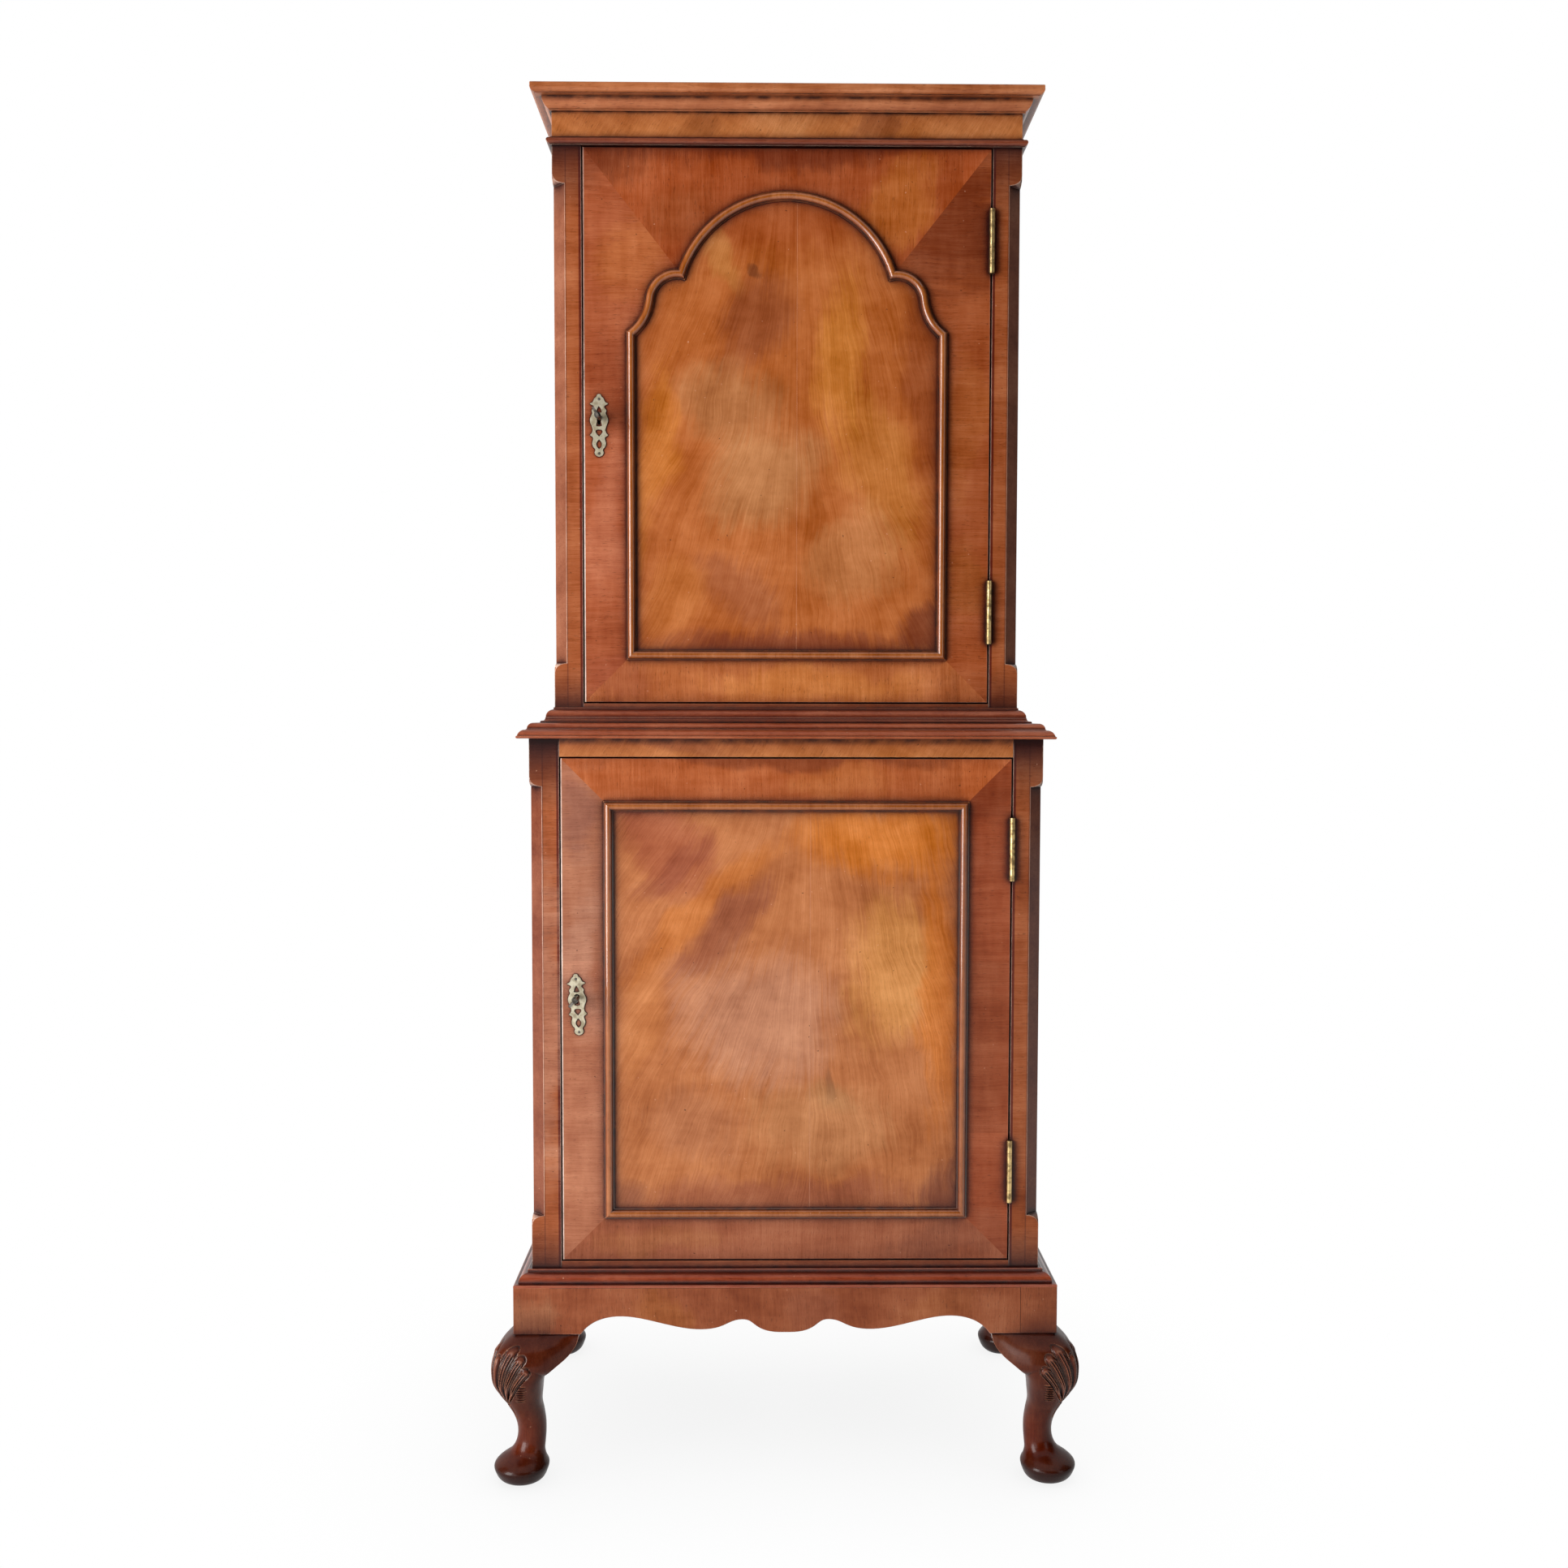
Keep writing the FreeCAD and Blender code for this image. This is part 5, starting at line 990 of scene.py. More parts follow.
@dataclass
class CabrioleLeg:
    """One leg: pad foot, ankle and knee, with a carved shell on the front ones, and its square post.

    Sizes are in millimetres and angles in degrees. The shell has a rib on the leg's corner, lobes with flutes
    on both sides of it, a stem below and a ladder of fins beside its foot.
    """

    node: str
    side: int
    face: int
    carved: bool
    stand_half_width: float = STAND_HALF_WIDTH
    stand_half_depth: float = STAND_HALF_DEPTH
    height: float = LEG_HEIGHT
    post: float = POST_SIDE
    post_top: float = 237.0
    post_arris: float = 0.8
    neck: float = 1.8
    neck_slope: float = 0.6
    shell_foot: float = 96.5
    shell_root: float = 12.0
    stem: float = 24.0
    stem_width: float = 4.2
    stem_tip: float = 0.3
    stem_height: float = 1.1
    stem_sink: float = 0.25
    rib_angle: float = 4.6
    rib_share: float = 0.86
    lobe_angle: float = 13.2
    lobe_reach: tuple = (75.0, 71.0, 64.0)
    lobe_tip: float = 0.095
    lobe_height: float = 3.3
    lobe_sink: float = 1.4
    lobe_groove: float = 2.0
    groove_depth: float = 0.7
    flute_places: tuple = (-0.5, 0.0, 0.5)
    flute_width: float = 0.17
    flute_depth: float = 2.1
    flute_top: float = 0.94
    lip: float = 0.93
    lip_height: float = 0.35
    fin_start: float = 15.0
    fin_lean: float = 0.5
    fin_half: float = 7.0
    fin_pitch: float = 3.6
    fin_height: float = 1.1
    fin_range: tuple = (5.4, 30.6)
    fine_from: float = 67.5
    fine_step: float = 0.5
    coarse_step: float = 1.25
    carved_half: float = 86.0
    carved_steps: int = 230
    smooth_half: float = 92.0
    smooth_steps: int = 29
    plain_sides: int = 48
    plain_rings: int = 90

    def carving(self, arc: float, rise: float) -> float:
        """Height of the carved shell above the smooth knee.

        Args:
            arc: millimetres round the leg from its outer corner.
            rise: millimetres above the foot of the shell.
        Returns:
            Millimetres outwards.
        """
        if rise < 0:
            width = self.stem_width * (1 + rise / self.stem) if rise > -self.stem else 0.0
            share = abs(arc) / width if width > self.stem_tip else 2.0
            return self.stem_height * (1 - share ** 2) - self.stem_sink if share < 1 else 0.0
        reach = math.hypot(arc, rise)
        angle = math.degrees(math.atan2(abs(arc), rise))
        lobe = int(max(angle - self.rib_angle, 0.0) / self.lobe_angle)
        if lobe >= len(self.lobe_reach):
            return self.fins(abs(arc), rise)
        on_rib = angle < self.rib_angle
        # A narrow rib stands on the corner, with the lobes spread on both sides of it.
        across = angle / self.rib_angle if on_rib else (
            (angle - self.rib_angle) / self.lobe_angle - lobe - 0.5) * 2
        # Each lobe ends in a round tip, which falls back towards its edges.
        tip = self.lobe_tip * (1 - math.sqrt(1 - 0.97 * across ** 2))
        end = self.lobe_reach[lobe] * ((self.rib_share if on_rib else 1.0) - tip)
        if reach > end + self.lobe_groove:
            return 0.0
        if reach > end:
            return -self.groove_depth * math.sin(math.pi * (reach - end) / self.lobe_groove)
        # The carving grows out of the knee over its root.
        fade = min(reach / self.shell_root, 1.0)
        body = self.lobe_height * math.cos(math.pi / 2 * abs(across) ** 1.7) ** 2 - self.lobe_sink
        # Three narrow flutes in each lobe start below its round tip and die out half way down.
        share = reach / end
        inside = (min(max((self.flute_top - share) / 0.05, 0.0), 1.0)
                  * min(max((share - 0.3) / 0.2, 0.0), 1.0))
        cuts = () if on_rib else self.flute_places
        flutes = -self.flute_depth * inside * sum(
            math.exp(-((across - cut) / self.flute_width) ** 2) for cut in cuts)
        lip = self.lip_height * math.exp(-((share - self.lip) / 0.05) ** 2)
        round_over = math.sqrt(max(1 - max((share - self.lip) / 0.07, 0.0) ** 2, 0.0))
        return (body * fade + flutes + lip) * round_over

    def fins(self, arc: float, rise: float) -> float:
        """The small ladder of fins beside the shell's foot.

        Args:
            arc: millimetres round the leg from its outer corner, on either side.
            rise: millimetres above the foot of the shell.
        Returns:
            Millimetres outwards.
        """
        across = (arc - self.fin_start - self.fin_lean * rise) / self.fin_half
        low, high = self.fin_range
        if abs(across) > 1 or not low < rise < high:
            return 0.0
        return self.fin_height * math.sin(2 * math.pi * rise / self.fin_pitch) * (1 - across ** 2)

    def point(self, angle: float, height: float) -> tuple[Vector, float]:
        """A point of the leg's skin in the frame.

        Args:
            angle: radians round the leg from its outer corner.
            height: millimetres above the floor.
        Returns:
            The point in metres, and how far the carving stands proud there in millimetres.
        """
        centre, half, square = smooth_between(LEG_SECTIONS, height / self.height)
        # The outer corner of a left front leg points to 225 degrees.
        turn = angle + math.radians(225)
        along, across = math.cos(turn), math.sin(turn)
        size = (abs(along) ** square + abs(across) ** square) ** (-1 / square) * half
        proud = 0.0
        if self.carved and height > self.shell_foot - self.stem:
            # The way round a squarish section is a little longer than round a circle.
            proud = self.carving(angle * half * 1.02, height - self.shell_foot)
        # The head is drawn in a little under the apron, which leaves a dark line there.
        size += proud - self.neck_slope * max(height - self.height + self.neck, 0.0)
        x = -self.stand_half_width + centre + along * size
        y = -self.stand_half_depth + centre + across * size
        return Vector((-self.side * x, -self.face * y, height)) * MM, proud

    def angles(self) -> list[float]:
        """Places round the leg, close together where it is carved.

        Returns:
            Radians from the outer corner, in order.
        """
        if not self.carved:
            return [2 * math.pi * step / self.plain_sides - math.pi for step in range(self.plain_sides)]
        carved, smooth = 2 * self.carved_half, 360 - 2 * self.smooth_half
        fine = [math.radians(-self.carved_half + carved * step / self.carved_steps)
                for step in range(self.carved_steps + 1)]
        coarse = [math.radians(self.smooth_half + smooth * step / self.smooth_steps)
                  for step in range(self.smooth_steps + 1)]
        return fine + coarse

    def heights(self) -> list[float]:
        """Heights of the rings, close together where the leg is carved.

        Returns:
            Millimetres above the floor, in order.
        """
        if not self.carved:
            return [self.height * step / self.plain_rings for step in range(self.plain_rings + 1)]
        low = [self.coarse_step * step for step in range(int(self.fine_from / self.coarse_step))]
        count = int((self.height - self.fine_from) / self.fine_step)
        fine = [self.fine_from + self.fine_step * step for step in range(count)]
        return low + fine + [self.height]

    def build(self, leg_finish: Material, post_finish: Material) -> None:
        """Builds the leg and its post and puts them in place of the plain leg.

        Args:
            leg_finish: the leg's material.
            post_finish: the post's material.
        """
        bm = bmesh.new()
        turn = bm.verts.layers.float.new("turn")
        relief = bm.verts.layers.float.new("relief")
        places, heights = self.angles(), self.heights()
        ring = bmesh.ops.create_circle(bm, segments=len(places), radius=1.0)["verts"]
        for vert, angle in zip(ring, places):
            vert[turn] = angle
            vert.co, vert[relief] = self.point(angle, heights[0])
        edges = list(bm.edges)
        bmesh.ops.contextual_create(bm, geom=edges)
        for height in heights[1:]:
            grown = bmesh.ops.extrude_edge_only(bm, edges=edges)["geom"]
            fresh = {item for item in grown if isinstance(item, bmesh.types.BMVert)}
            edges = [item for item in grown
                     if isinstance(item, bmesh.types.BMEdge) and set(item.verts) <= fresh]
            for vert in fresh:
                vert.co, vert[relief] = self.point(vert[turn], height)
        bmesh.ops.contextual_create(bm, geom=edges)
        bmesh.ops.recalc_face_normals(bm, faces=bm.faces)
        smooth_faces(bm, 60)
        leg = piece_from(bm, f"{self.node}_shaped", leg_finish)
        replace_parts(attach(leg, "case"), self.node)
        log.info("built %s with %d faces", leg.name, len(leg.data.polygons))
        self.build_post(post_finish)

    def build_post(self, finish: Material) -> None:
        """The square post above the knee, with softened arrises.

        Args:
            finish: the post's material.
        """
        bm = bmesh.new()
        bmesh.ops.create_cube(bm, size=1.0)
        size = Vector((self.post, self.post, self.post_top - self.height)) * MM
        bmesh.ops.scale(bm, vec=size, verts=bm.verts)
        outer = [edge for edge in bm.edges if all(
            vert.co.x * self.side > 0 and vert.co.y * self.face > 0 for vert in edge.verts)]
        outer += [edge for edge in bm.edges if all(vert.co.z < 0 for vert in edge.verts) and (
            all(vert.co.x * self.side > 0 for vert in edge.verts)
            or all(vert.co.y * self.face > 0 for vert in edge.verts))]
        bmesh.ops.bevel(bm, geom=outer, offset=self.post_arris * MM, offset_type="OFFSET", segments=3,
                        profile=0.5, affect="EDGES", material=-1)
        middle = Vector((
            self.side * (self.stand_half_width - self.post / 2),
            self.face * (self.stand_half_depth - self.post / 2),
            (self.post_top + self.height) / 2,
        )) * MM
        bmesh.ops.translate(bm, vec=middle, verts=bm.verts)
        smooth_faces(bm)
        post = piece_from(bm, f"{self.node}_post", finish)
        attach(post, "case")
        log.info("built %s", post.name)


@dataclass
class KneeBracket:
    """The ear beside a knee: its face swells out of the knee and dies into the apron.

    Sizes are in millimetres. The edge gives the bracket's width by share of its drop, and the tuck draws its
    foot back under the knee.
    """

    name: str
    side: int
    face: int
    along_front: bool
    stand_half_width: float = STAND_HALF_WIDTH
    stand_half_depth: float = STAND_HALF_DEPTH
    height: float = LEG_HEIGHT
    post: float = POST_SIDE
    width: float = 37.0
    drop: float = 46.0
    thickness: float = 30.0
    overlap: float = 1.5
    sink: float = 0.3
    set_back: float = 1.0
    tuck: float = 9.0
    tuck_share: float = 0.28
    head_line: float = 1.4
    head_share: float = 0.06
    rows: int = 28
    columns: int = 30
    edge: tuple = (
        (0.0, 1.0), (0.08, 1.0), (0.26, 0.95), (0.42, 0.82), (0.58, 0.62), (0.79, 0.24), (1.0, 0.0))

    def place(self, across: float, down: float) -> Vector:
        """A point of the bracket's face in the frame.

        Args:
            across: share of the way from inside the knee to the bracket's edge.
            down: share of the way from the apron to the bracket's foot.
        Returns:
            The point in metres.
        """
        height = self.height - down * self.drop
        reach = smooth_between(self.edge, down)[0] * self.width
        inner = self.post / 2
        centre, half, square = smooth_between(LEG_SECTIONS, height / self.height)
        out = inner + across * (centre + half - self.overlap - inner + reach)
        # The face starts just inside the knee's own skin and dies into the apron's plane.
        fall = half * (1 - (1 - min(abs(inner - centre) / half, 1.0) ** square) ** (1 / square))
        swell = max(half - centre - fall - self.sink, 0.0)
        fade = max(out - inner, 0.0) / (self.post - inner + self.width)
        front = self.set_back - (swell + self.set_back) * math.cos(min(fade, 1.0) * math.pi / 2) ** 1.4
        drawn = min(max((down - 1 + self.tuck_share) / self.tuck_share, 0.0), 1.0)
        front += self.tuck * drawn ** 2 + self.head_line * max(1 - down / self.head_share, 0.0)
        if self.along_front:
            x, y = self.stand_half_width - out, self.stand_half_depth - front
        else:
            x, y = self.stand_half_width - front, self.stand_half_depth - out
        return Vector((self.side * x, self.face * y, height)) * MM

    def build(self, finish: Material) -> bpy.types.Object:
        """Builds the bracket from a grid that is drawn back into a solid.

        Args:
            finish: its material.
        Returns:
            The bracket.
        """
        bm = bmesh.new()
        bmesh.ops.create_grid(bm, x_segments=self.columns, y_segments=self.rows, size=0.5)
        for vert in bm.verts:
            vert.co = self.place(vert.co.x + 0.5, 0.5 - vert.co.y)
        grown = bmesh.ops.extrude_face_region(bm, geom=list(bm.faces), use_keep_orig=True)["geom"]
        back = [item for item in grown if isinstance(item, bmesh.types.BMVert)]
        axis = 1 if self.along_front else 0
        limit = self.stand_half_depth if self.along_front else self.stand_half_width
        sign = self.face if self.along_front else self.side
        for vert in back:
            vert.co[axis] = sign * (limit - self.thickness) * MM
        bmesh.ops.remove_doubles(bm, verts=bm.verts, dist=1e-6)
        bmesh.ops.recalc_face_normals(bm, faces=bm.faces)
        smooth_faces(bm, 40)
        made = piece_from(bm, self.name, finish)
        log.info("built %s", made.name)
        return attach(made, "case")


@dataclass
class Stand:
    """The stand: four legs, their brackets and the aprons."""

    arris: float = 0.6

    def build(self) -> None:
        """Builds the shaped legs and brackets and finishes the boards."""
        leg_finish = LEG.material(Grain.UPRIGHT)
        apron_finish = APRON.material(Grain.UPRIGHT, shift=0.3)
        for place, face in (("front", -1), ("rear", 1)):
            for hand, side in (("left", -1), ("right", 1)):
                leg = CabrioleLeg(f"leg_{place}_{hand}", side, face, carved=face < 0)
                leg.build(leg_finish, apron_finish)
        made = []
        for side in (-1, 1):
            made.append(KneeBracket(f"bracket_front_{side + 1}", side, -1, True).build(leg_finish))
            for face in (-1, 1):
                name = f"bracket_side_{side + 1}_{face + 1}"
                made.append(KneeBracket(name, side, face, False).build(leg_finish))
        for bracket in made:
            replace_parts(bracket, "knee_brackets")
        dress(("front_apron", "side_aprons"), apron_finish, self.arris)
        dress(("rear_rail", "stand_bearers"), INNER.material(Grain.ROUND, shift=0.2), self.arris)


@dataclass
class Carcase:
    """The two cupboards without their doors, and the mouldings. Arrises are in millimetres."""

    post_arris: float = 1.3
    board_arris: float = 0.6
    thin_arris: float = 0.5

    def build(self) -> None:
        """Finishes posts, boards, mouldings and inner pieces."""
        for tier, finish, shift in (("lower", LOWER_POST, 0.1), ("upper", UPPER_POST, 0.4)):
            posts = (f"{tier}_post_left", f"{tier}_post_right")
            dress(posts, finish.material(Grain.ACROSS, shift), self.post_arris)
        sides = [f"{tier}_side_{hand}" for tier in ("lower", "upper") for hand in ("left", "right")]
        dress(sides, CARCASE.material(Grain.UPRIGHT, shift=0.7), self.board_arris)
        rails = CARCASE.material(Grain.ACROSS, shift=1.3)
        dress(("lower_bottom_rail", "upper_bottom_rail", "waist_board", "upper_top"), rails, self.board_arris)
        dress(("lower_frieze_rail", "frieze"), FRIEZE.material(Grain.SLANT, shift=0.4), self.thin_arris)
        dress(("cornice_moulding",), MOULDING.material(Grain.ROUND, shift=0.9))
        dress(("frieze_bead",), BEAD.material(Grain.ROUND, shift=0.9))
        dress(("stand_moulding",), STAND_MOULDING.material(Grain.ROUND, shift=0.9))
        dress(("waist_moulding", "upper_foot_moulding"), WAIST_MOULDING.material(Grain.ROUND, shift=0.2))
        dress(("lower_back", "upper_back"), INNER.material(Grain.UPRIGHT, shift=0.9), self.thin_arris)
        inner = ("lower_bottom", "upper_bottom", "shelves", "shelf_bearers", "cornice_board")
        dress(inner, INNER.material(Grain.ACROSS, shift=0.5), self.thin_arris)


# Escutcheon's outline: millimetres down from its top, half width
PLATE_EDGE = (
    (0.0, 0.0), (0.4, 1.7), (1.5, 2.5), (3.0, 2.9), (4.8, 5.2), (7.5, 6.4), (9.8, 7.8), (11.4, 10.8),
    (12.8, 8.4), (14.2, 6.4), (16.0, 6.3), (19.3, 8.7), (22.8, 8.0), (26.4, 9.6), (29.8, 10.8),
    (33.4, 10.5), (37.6, 8.9), (42.4, 7.6), (46.2, 8.6), (48.9, 10.6), (51.0, 7.6), (53.0, 6.9),
    (58.4, 8.2), (62.3, 7.2), (65.3, 4.9), (66.9, 4.5), (69.5, 5.4), (72.3, 4.2), (73.9, 1.9), (74.4, 0.0))
# Its piercings, in the same way
PLATE_HOLES = (
    ((13.8, 0.0), (15.8, 1.3), (18.2, 2.5), (20.6, 3.2), (21.9, 3.0), (22.3, 0.0)),
    ((24.2, 0.0), (25.1, 2.4), (27.8, 3.0), (30.6, 2.5), (33.0, 2.6), (38.0, 3.2), (38.5, 0.0)),
    ((42.0, 0.0), (42.4, 3.0), (44.6, 4.3), (47.2, 3.0), (50.6, 0.0)),
    ((53.8, 0.0), (56.4, 2.3), (59.4, 3.4), (63.0, 2.3), (65.4, 0.0)))


@dataclass
class Escutcheon:
    """A pierced plate round a keyhole, sawn to a scrolled outline and filed round on its front arris.

    The front is the door's face in metres, the tilt is in degrees and the rest in millimetres.
    """

    node: str
    body: str
    key: tuple
    front: float
    tilt: float
    above_key: float = 28.13
    thickness: float = 1.2
    step: float = 0.4
    least_half: float = 0.05
    arris: float = 0.35

    def trace(self, bm: bmesh.types.BMesh, rows: Sequence[tuple]) -> None:
        """Adds a closed outline, alike on both sides, on the door's face.

        Args:
            bm: the plate.
            rows: the outline's half widths from top to foot.
        """
        low, high = rows[0][0], rows[-1][0]
        count = int((high - low) / self.step)
        downs = [low + (high - low) * n / count for n in range(1, count)]
        right = [(max(smooth_between(rows, down)[0], self.least_half), down) for down in downs]
        points = [(0.0, low), *right, (0.0, high), *((-out, down) for out, down in reversed(right))]
        ring = bmesh.ops.create_circle(bm, segments=len(points), radius=1.0)["verts"]
        turn = Matrix.Rotation(math.radians(self.tilt), 3, "Y")
        middle = Vector((self.key[0] * MM, self.front, self.key[1] * MM))
        for vert, (out, down) in zip(ring, points):
            vert.co = middle + turn @ Vector((out, 0.0, self.above_key - down)) * MM

    def build(self) -> None:
        """Builds the plate in place of the plain one."""
        bm = bmesh.new()
        self.trace(bm, PLATE_EDGE)
        for hole in PLATE_HOLES:
            self.trace(bm, hole)
        bmesh.ops.triangle_fill(bm, use_beauty=True, use_dissolve=False, edges=bm.edges)
        grown = bmesh.ops.extrude_face_region(bm, geom=list(bm.faces), use_keep_orig=True)["geom"]
        raised = [item for item in grown if isinstance(item, bmesh.types.BMVert)]
        bmesh.ops.translate(bm, vec=(0.0, -self.thickness * MM, 0.0), verts=raised)
        bmesh.ops.recalc_face_normals(bm, faces=bm.faces)
        top = self.front - self.thickness * MM
        arris = [edge for edge in bm.edges if all(abs(vert.co.y - top) < 1e-6 for vert in edge.verts)
                 and edge.calc_face_angle(0.0) > math.radians(60)]
        bmesh.ops.bevel(bm, geom=arris, offset=self.arris * MM, offset_type="OFFSET", segments=2,
                        profile=0.5, affect="EDGES", material=-1, clamp_overlap=True)
        smooth_faces(bm)
        for face in bm.faces:
            face.smooth = abs(face.normal.y) < 0.999
        made = piece_from(bm, f"{self.node}_scrolled", PLATE_BRASS.material())
        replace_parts(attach(made, self.body), self.node)
        log.info("built %s with %d faces", made.name, len(made.data.polygons))


@dataclass
class Door:
    """One door with its veneers, moulding and metalwork.

    The front is the banding's face in metres, the tilt is in degrees and the rest in millimetres.
    """

    name: str
    banding: BandingFinish
    veneer: FieldFinish
    front: float
    key: tuple
    plate_tilt: float = 0.0
    rim_radius: float = 0.8
    rubbed_and_lit_width: float = 1.6
    mitre_slack: float = 0.6

    def build(self) -> None:
        """Finishes the door's pieces and rounds its outer arris."""
        dress((f"{self.name}_door_core",), CARCASE.material(Grain.UPRIGHT, shift=0.2))
        dress((f"{self.name}_door_field",), self.veneer.veneer())
        dress((f"{self.name}_door_moulding",), DOOR_MOULDING.material(Grain.UPRIGHT, shift=0.5))
        self.build_banding()
        brass, steel = BRASS.material(), STEEL.material()
        dress((f"{self.name}_hinge_leaves",), brass)
        Escutcheon(
            f"{self.name}_escutcheon", f"{self.name}_door", self.key, self.front, self.plate_tilt).build()
        dress([f"{self.name}_{part}" for part in ("door_fixings", "lock_case", "lock_bolt", "key")], steel)

    def on_mitre(self, face: bmesh.types.BMFace) -> bool:
        """Whether a face lies in the glued joint between two strips.

        Args:
            face: a face of the crossbanding.
        Returns:
            True for a face that two strips share.
        """
        middle = face.calc_center_median()
        inset = self.banding.half - abs(middle.x)
        ends = (middle.z - self.banding.low, (self.banding.high - middle.z) * self.banding.head_slope)
        return abs(face.normal.y) < 0.1 and any(abs(inset - end) < self.mitre_slack * MM for end in ends)

    def on_rim(self, edge: bmesh.types.BMEdge) -> bool:
        """Whether an edge lies on the door's outer front arris.

        Args:
            edge: an edge of the crossbanding.
        Returns:
            True for an edge to round over.
        """
        ends = [vert.co for vert in edge.verts]
        front = all(abs(end.y - self.front) < 1e-5 for end in ends)
        upright = all(abs(abs(end.x) - self.banding.half) < 2e-5 for end in ends)
        level = any(all(abs(end.z - rim) < 2e-5 for end in ends)
                    for rim in (self.banding.low, self.banding.high))
        return front and (upright or level)

    def build_banding(self) -> None:
        """A copy of the crossbanding with its outer front arris rounded over."""
        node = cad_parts[f"{self.name}_door_banding"]
        bm = bmesh.new()
        bm.from_mesh(node.data)
        bmesh.ops.remove_doubles(bm, verts=bm.verts, dist=1e-6)
        glued = [face for face in bm.faces if self.on_mitre(face)]
        bmesh.ops.delete(bm, geom=glued, context="FACES_ONLY")
        bmesh.ops.dissolve_limit(bm, angle_limit=math.radians(0.6), verts=bm.verts, edges=bm.edges)
        bmesh.ops.remove_doubles(bm, verts=bm.verts, dist=0.2 * MM)
        rim = [edge for edge in bm.edges if self.on_rim(edge)]
        bmesh.ops.bevel(bm, geom=rim, offset=self.rim_radius * MM, offset_type="OFFSET", segments=4,
                        profile=0.5, affect="EDGES", material=-1)
        # A narrow strip along the latch side is pale: partly worn by hands, partly a painted highlight.
        latch = Vector((self.rubbed_and_lit_width * MM - self.banding.half, 0.0, 0.0))
        every = [*bm.verts, *bm.edges, *bm.faces]
        bmesh.ops.bisect_plane(bm, geom=every, dist=1e-6, plane_co=latch, plane_no=(1.0, 0.0, 0.0))
        for face in bm.faces:
            face.smooth = face.normal.y > -0.999 and face.calc_area() < 1e-3
            face.material_index = int(face.calc_center_median().x < latch.x and face.normal.y < -0.2)
        made = piece_from(bm, f"{self.name}_door_crossbanding", self.banding.banding())
        made.data.materials.append(RUBBED_AND_LIT.material(Grain.ACROSS))
        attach(made, f"{self.name}_door")
        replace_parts(made, node.name)
        log.info("rounded %s on %d edges", made.name, len(rim))


@dataclass
class CaseHardware:
    """Hinge leaves, pins, screws and strike plates on the case."""

    def build(self) -> None:
        """Finishes the fixed metalwork."""
        dress(("hinge_case_leaves", "hinge_pins"), BRASS.material())
        dress(("hinge_case_screws", "strike_plates"), STEEL.material())


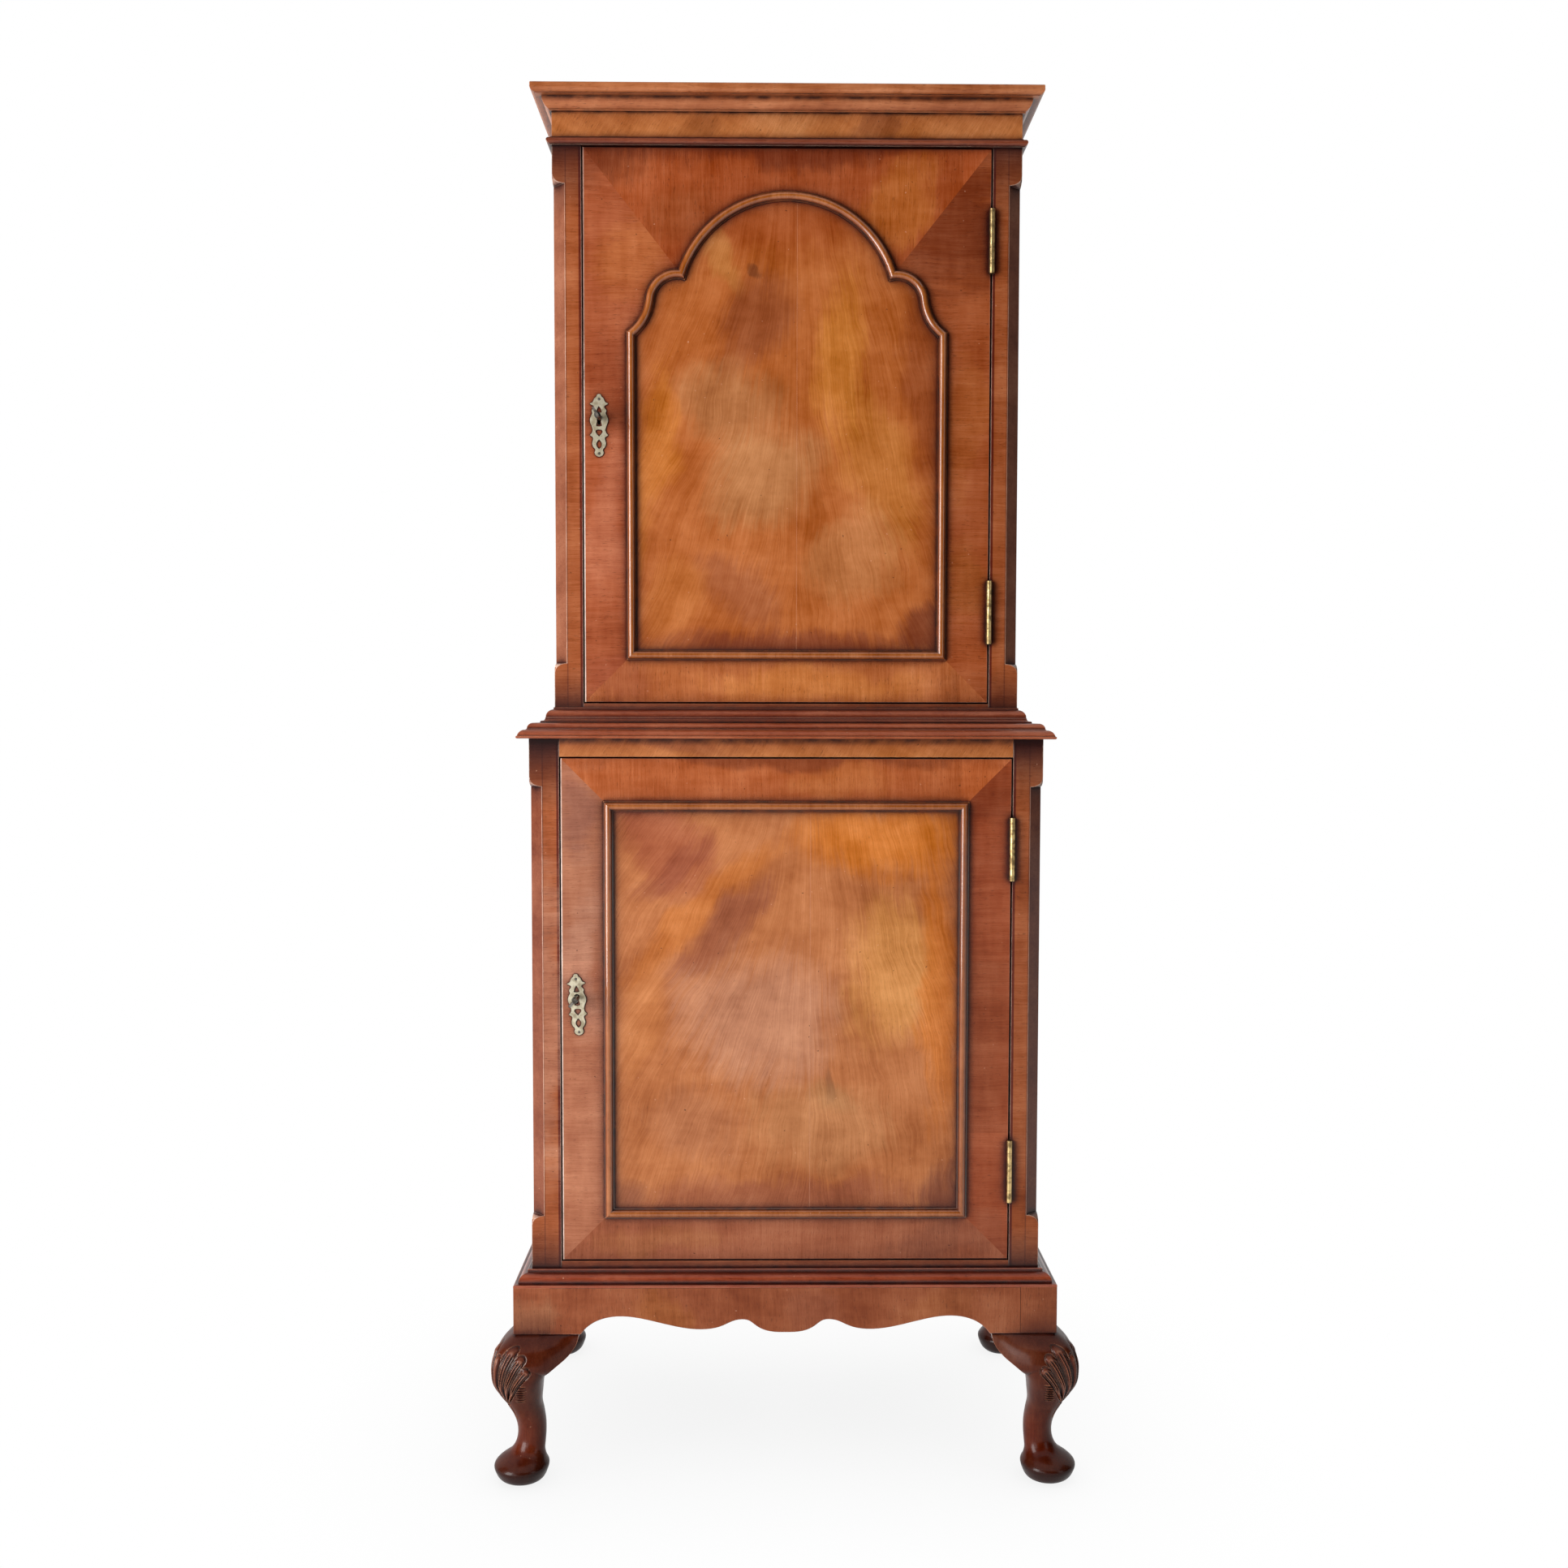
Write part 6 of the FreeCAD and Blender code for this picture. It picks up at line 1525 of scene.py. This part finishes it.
@dataclass
class Studio:
    """Pale floor, dark screen, soft lamps, white backdrop and the camera.

    Places and sizes are in metres, the lens and sensor in millimetres, the roll in degrees, and the lamps'
    rows give name, place, width and height, and watts.
    """

    lens: float = 34.47
    sensor: float = 36.0
    eye: tuple = (-0.0233, -1.9684, 0.9345)
    ahead: tuple = (0.0113, 0.9987, -0.0504)
    roll: float = 0.11
    floor_half: float = 8.0
    shadow_reach: float = 0.35
    screen_size: tuple = (9.0, 5.0, 1.0)
    screen_middle: tuple = (0.0, -5.0, 2.9)
    wing: tuple = (0.0, 6.0, 0.0)
    aim: tuple = (0.0, -0.1, 0.9)
    lamps: tuple = (
        ("window", (-2.3, -1.9, 1.2), (1.3, 2.3), 112.0),
        ("front_fill", (-2.1, -3.5, 0.95), (2.0, 1.5), 28.0),
        ("right_fill", (2.8, -2.4, 1.5), (1.2, 2.0), 12.0))

    def build(self) -> None:
        """Sets up everything round the object."""
        self.build_floor()
        self.build_screen()
        # A tall window on the left, a broad soft fill in front and a weak one on the right.
        for lamp in self.lamps:
            self.build_lamp(*lamp)
        self.build_world()
        self.build_camera()
        bpy.context.scene.view_settings.view_transform = "Standard"

    def seen_directly(self, tree: Tree) -> Socket:
        """A mask of what the camera sees by itself, in polish and through glass.

        Args:
            tree: the node tree to add to.
        Returns:
            One for such rays, zero for the light that falls on the object.
        """
        path = add(tree, "ShaderNodeLightPath").outputs
        seen = add(tree, "ShaderNodeMath", {0: path["Is Camera Ray"], 1: path["Is Glossy Ray"]},
                   operation="MAXIMUM").outputs[0]
        return add(tree, "ShaderNodeMath", {0: seen, 1: path["Is Transmission Ray"]},
                   operation="MAXIMUM").outputs[0]

    def build_floor(self) -> None:
        """A pale painted floor that is white to the camera, with a painted shadow from ambient occlusion near
        the object.
        """
        bm = bmesh.new()
        bmesh.ops.create_grid(bm, x_segments=1, y_segments=1, size=self.floor_half)
        made, tree = blank_material("painted_floor")
        sky = add(tree, "ShaderNodeAmbientOcclusion", {"Distance": self.shadow_reach},
                  samples=8).outputs["AO"]
        shade = add(tree, "ShaderNodeValToRGB", {"Fac": sky}, ((0.3, 0.88), (1.0, 1.0))).outputs["Color"]
        pale = add(tree, "ShaderNodeBsdfDiffuse", {"Color": linear("d9d7d4")}).outputs["BSDF"]
        white = add(tree, "ShaderNodeEmission", {"Color": shade, "Strength": 1.0}).outputs["Emission"]
        mixed = add(tree, "ShaderNodeMixShader", {
            "Fac": self.seen_directly(tree), 1: pale, 2: white}).outputs["Shader"]
        add(tree, "ShaderNodeOutputMaterial", {"Surface": mixed})
        piece_from(bm, "floor", made)

    def build_screen(self) -> None:
        """A dark cloth screen behind the camera and down both sides, which keeps white out of the polish."""
        bm = bmesh.new()
        bmesh.ops.create_grid(bm, x_segments=1, y_segments=1, size=0.5)
        bmesh.ops.scale(bm, vec=self.screen_size, verts=bm.verts)
        bmesh.ops.rotate(bm, verts=bm.verts, matrix=Matrix.Rotation(math.pi / 2, 3, "X"))
        bmesh.ops.translate(bm, vec=self.screen_middle, verts=bm.verts)
        ends = [edge for edge in bm.edges if edge.verts[0].co.x * edge.verts[1].co.x > 0]
        grown = bmesh.ops.extrude_edge_only(bm, edges=ends)["geom"]
        fresh = [item for item in grown if isinstance(item, bmesh.types.BMVert)]
        bmesh.ops.translate(bm, vec=self.wing, verts=fresh)
        made, tree = blank_material("dark_cloth_screen")
        place = add(tree, "ShaderNodeTexCoord").outputs["Object"]
        # Its slubs are about 25 mm across, coarse enough to show.
        slubs = add(tree, "ShaderNodeTexNoise", {"Vector": place, "Scale": 40.0}).outputs["Fac"]
        weave = add(tree, "ShaderNodeValToRGB", {"Fac": slubs}, (
            (0.3, "2a2624"), (0.7, "36312e"))).outputs["Color"]
        cloth = add(tree, "ShaderNodeBsdfDiffuse", {"Color": weave}).outputs["BSDF"]
        add(tree, "ShaderNodeOutputMaterial", {"Surface": cloth})
        screen = piece_from(bm, "screen", made)
        screen.visible_camera = False

    def build_lamp(self, name: str, place: tuple, size: tuple, power: float) -> None:
        """A rectangular soft lamp turned to the object.

        Args:
            name: the lamp's name.
            place: where it stands.
            size: its width and height.
            power: its watts.
        """
        light = bpy.data.lights.new(name, "AREA")
        light.shape = "RECTANGLE"
        light.size, light.size_y = size
        light.energy = power
        holder = bpy.data.objects.new(name, light)
        holder.location = place
        holder.rotation_euler = (Vector(self.aim) - Vector(place)).to_track_quat("-Z", "Y").to_euler()
        bpy.context.scene.collection.objects.link(holder)

    def build_world(self) -> None:
        """White to the camera, a soft grey room to the object."""
        world = bpy.data.worlds.new("room")
        bpy.context.scene.world = world
        world.use_nodes = True
        tree = world.node_tree
        tree.nodes.clear()
        white = add(tree, "ShaderNodeBackground", {"Color": (1, 1, 1, 1), "Strength": 1.0}).outputs[0]
        room = add(tree, "ShaderNodeBackground", {"Color": linear("c9c6c2"), "Strength": 0.28}).outputs[0]
        mixed = add(tree, "ShaderNodeMixShader", {
            "Fac": self.seen_directly(tree), 1: room, 2: white}).outputs[0]
        add(tree, "ShaderNodeOutputWorld", {"Surface": mixed})

    def build_camera(self) -> None:
        """The camera at the photograph's place."""
        data = bpy.data.cameras.new("camera")
        data.lens, data.sensor_width, data.sensor_fit = self.lens, self.sensor, "HORIZONTAL"
        camera = bpy.data.objects.new("camera", data)
        ahead = Vector(self.ahead).normalized()
        right = ahead.cross(Vector((0, 0, 1))).normalized()
        turn = Matrix((right, right.cross(ahead), -ahead)).transposed().to_4x4()
        roll = Matrix.Rotation(math.radians(self.roll), 4, "Z")
        camera.matrix_world = Matrix.Translation(self.eye) @ turn @ roll
        bpy.context.scene.collection.objects.link(camera)
        bpy.context.scene.camera = camera


def main() -> None:
    """Builds every part of the scene in order."""
    logging.basicConfig(level=logging.INFO)
    Stand().build()
    Carcase().build()
    Door("upper", UPPER_BANDING, UPPER_FIELD, front=-0.1445, key=(-225.4, 1282.0)).build()
    Door("lower", LOWER_BANDING, LOWER_FIELD, front=-0.172, key=(-251.9, 586.5), plate_tilt=-3.3).build()
    CaseHardware().build()
    Studio().build()


if __name__ == "__main__":
    main()
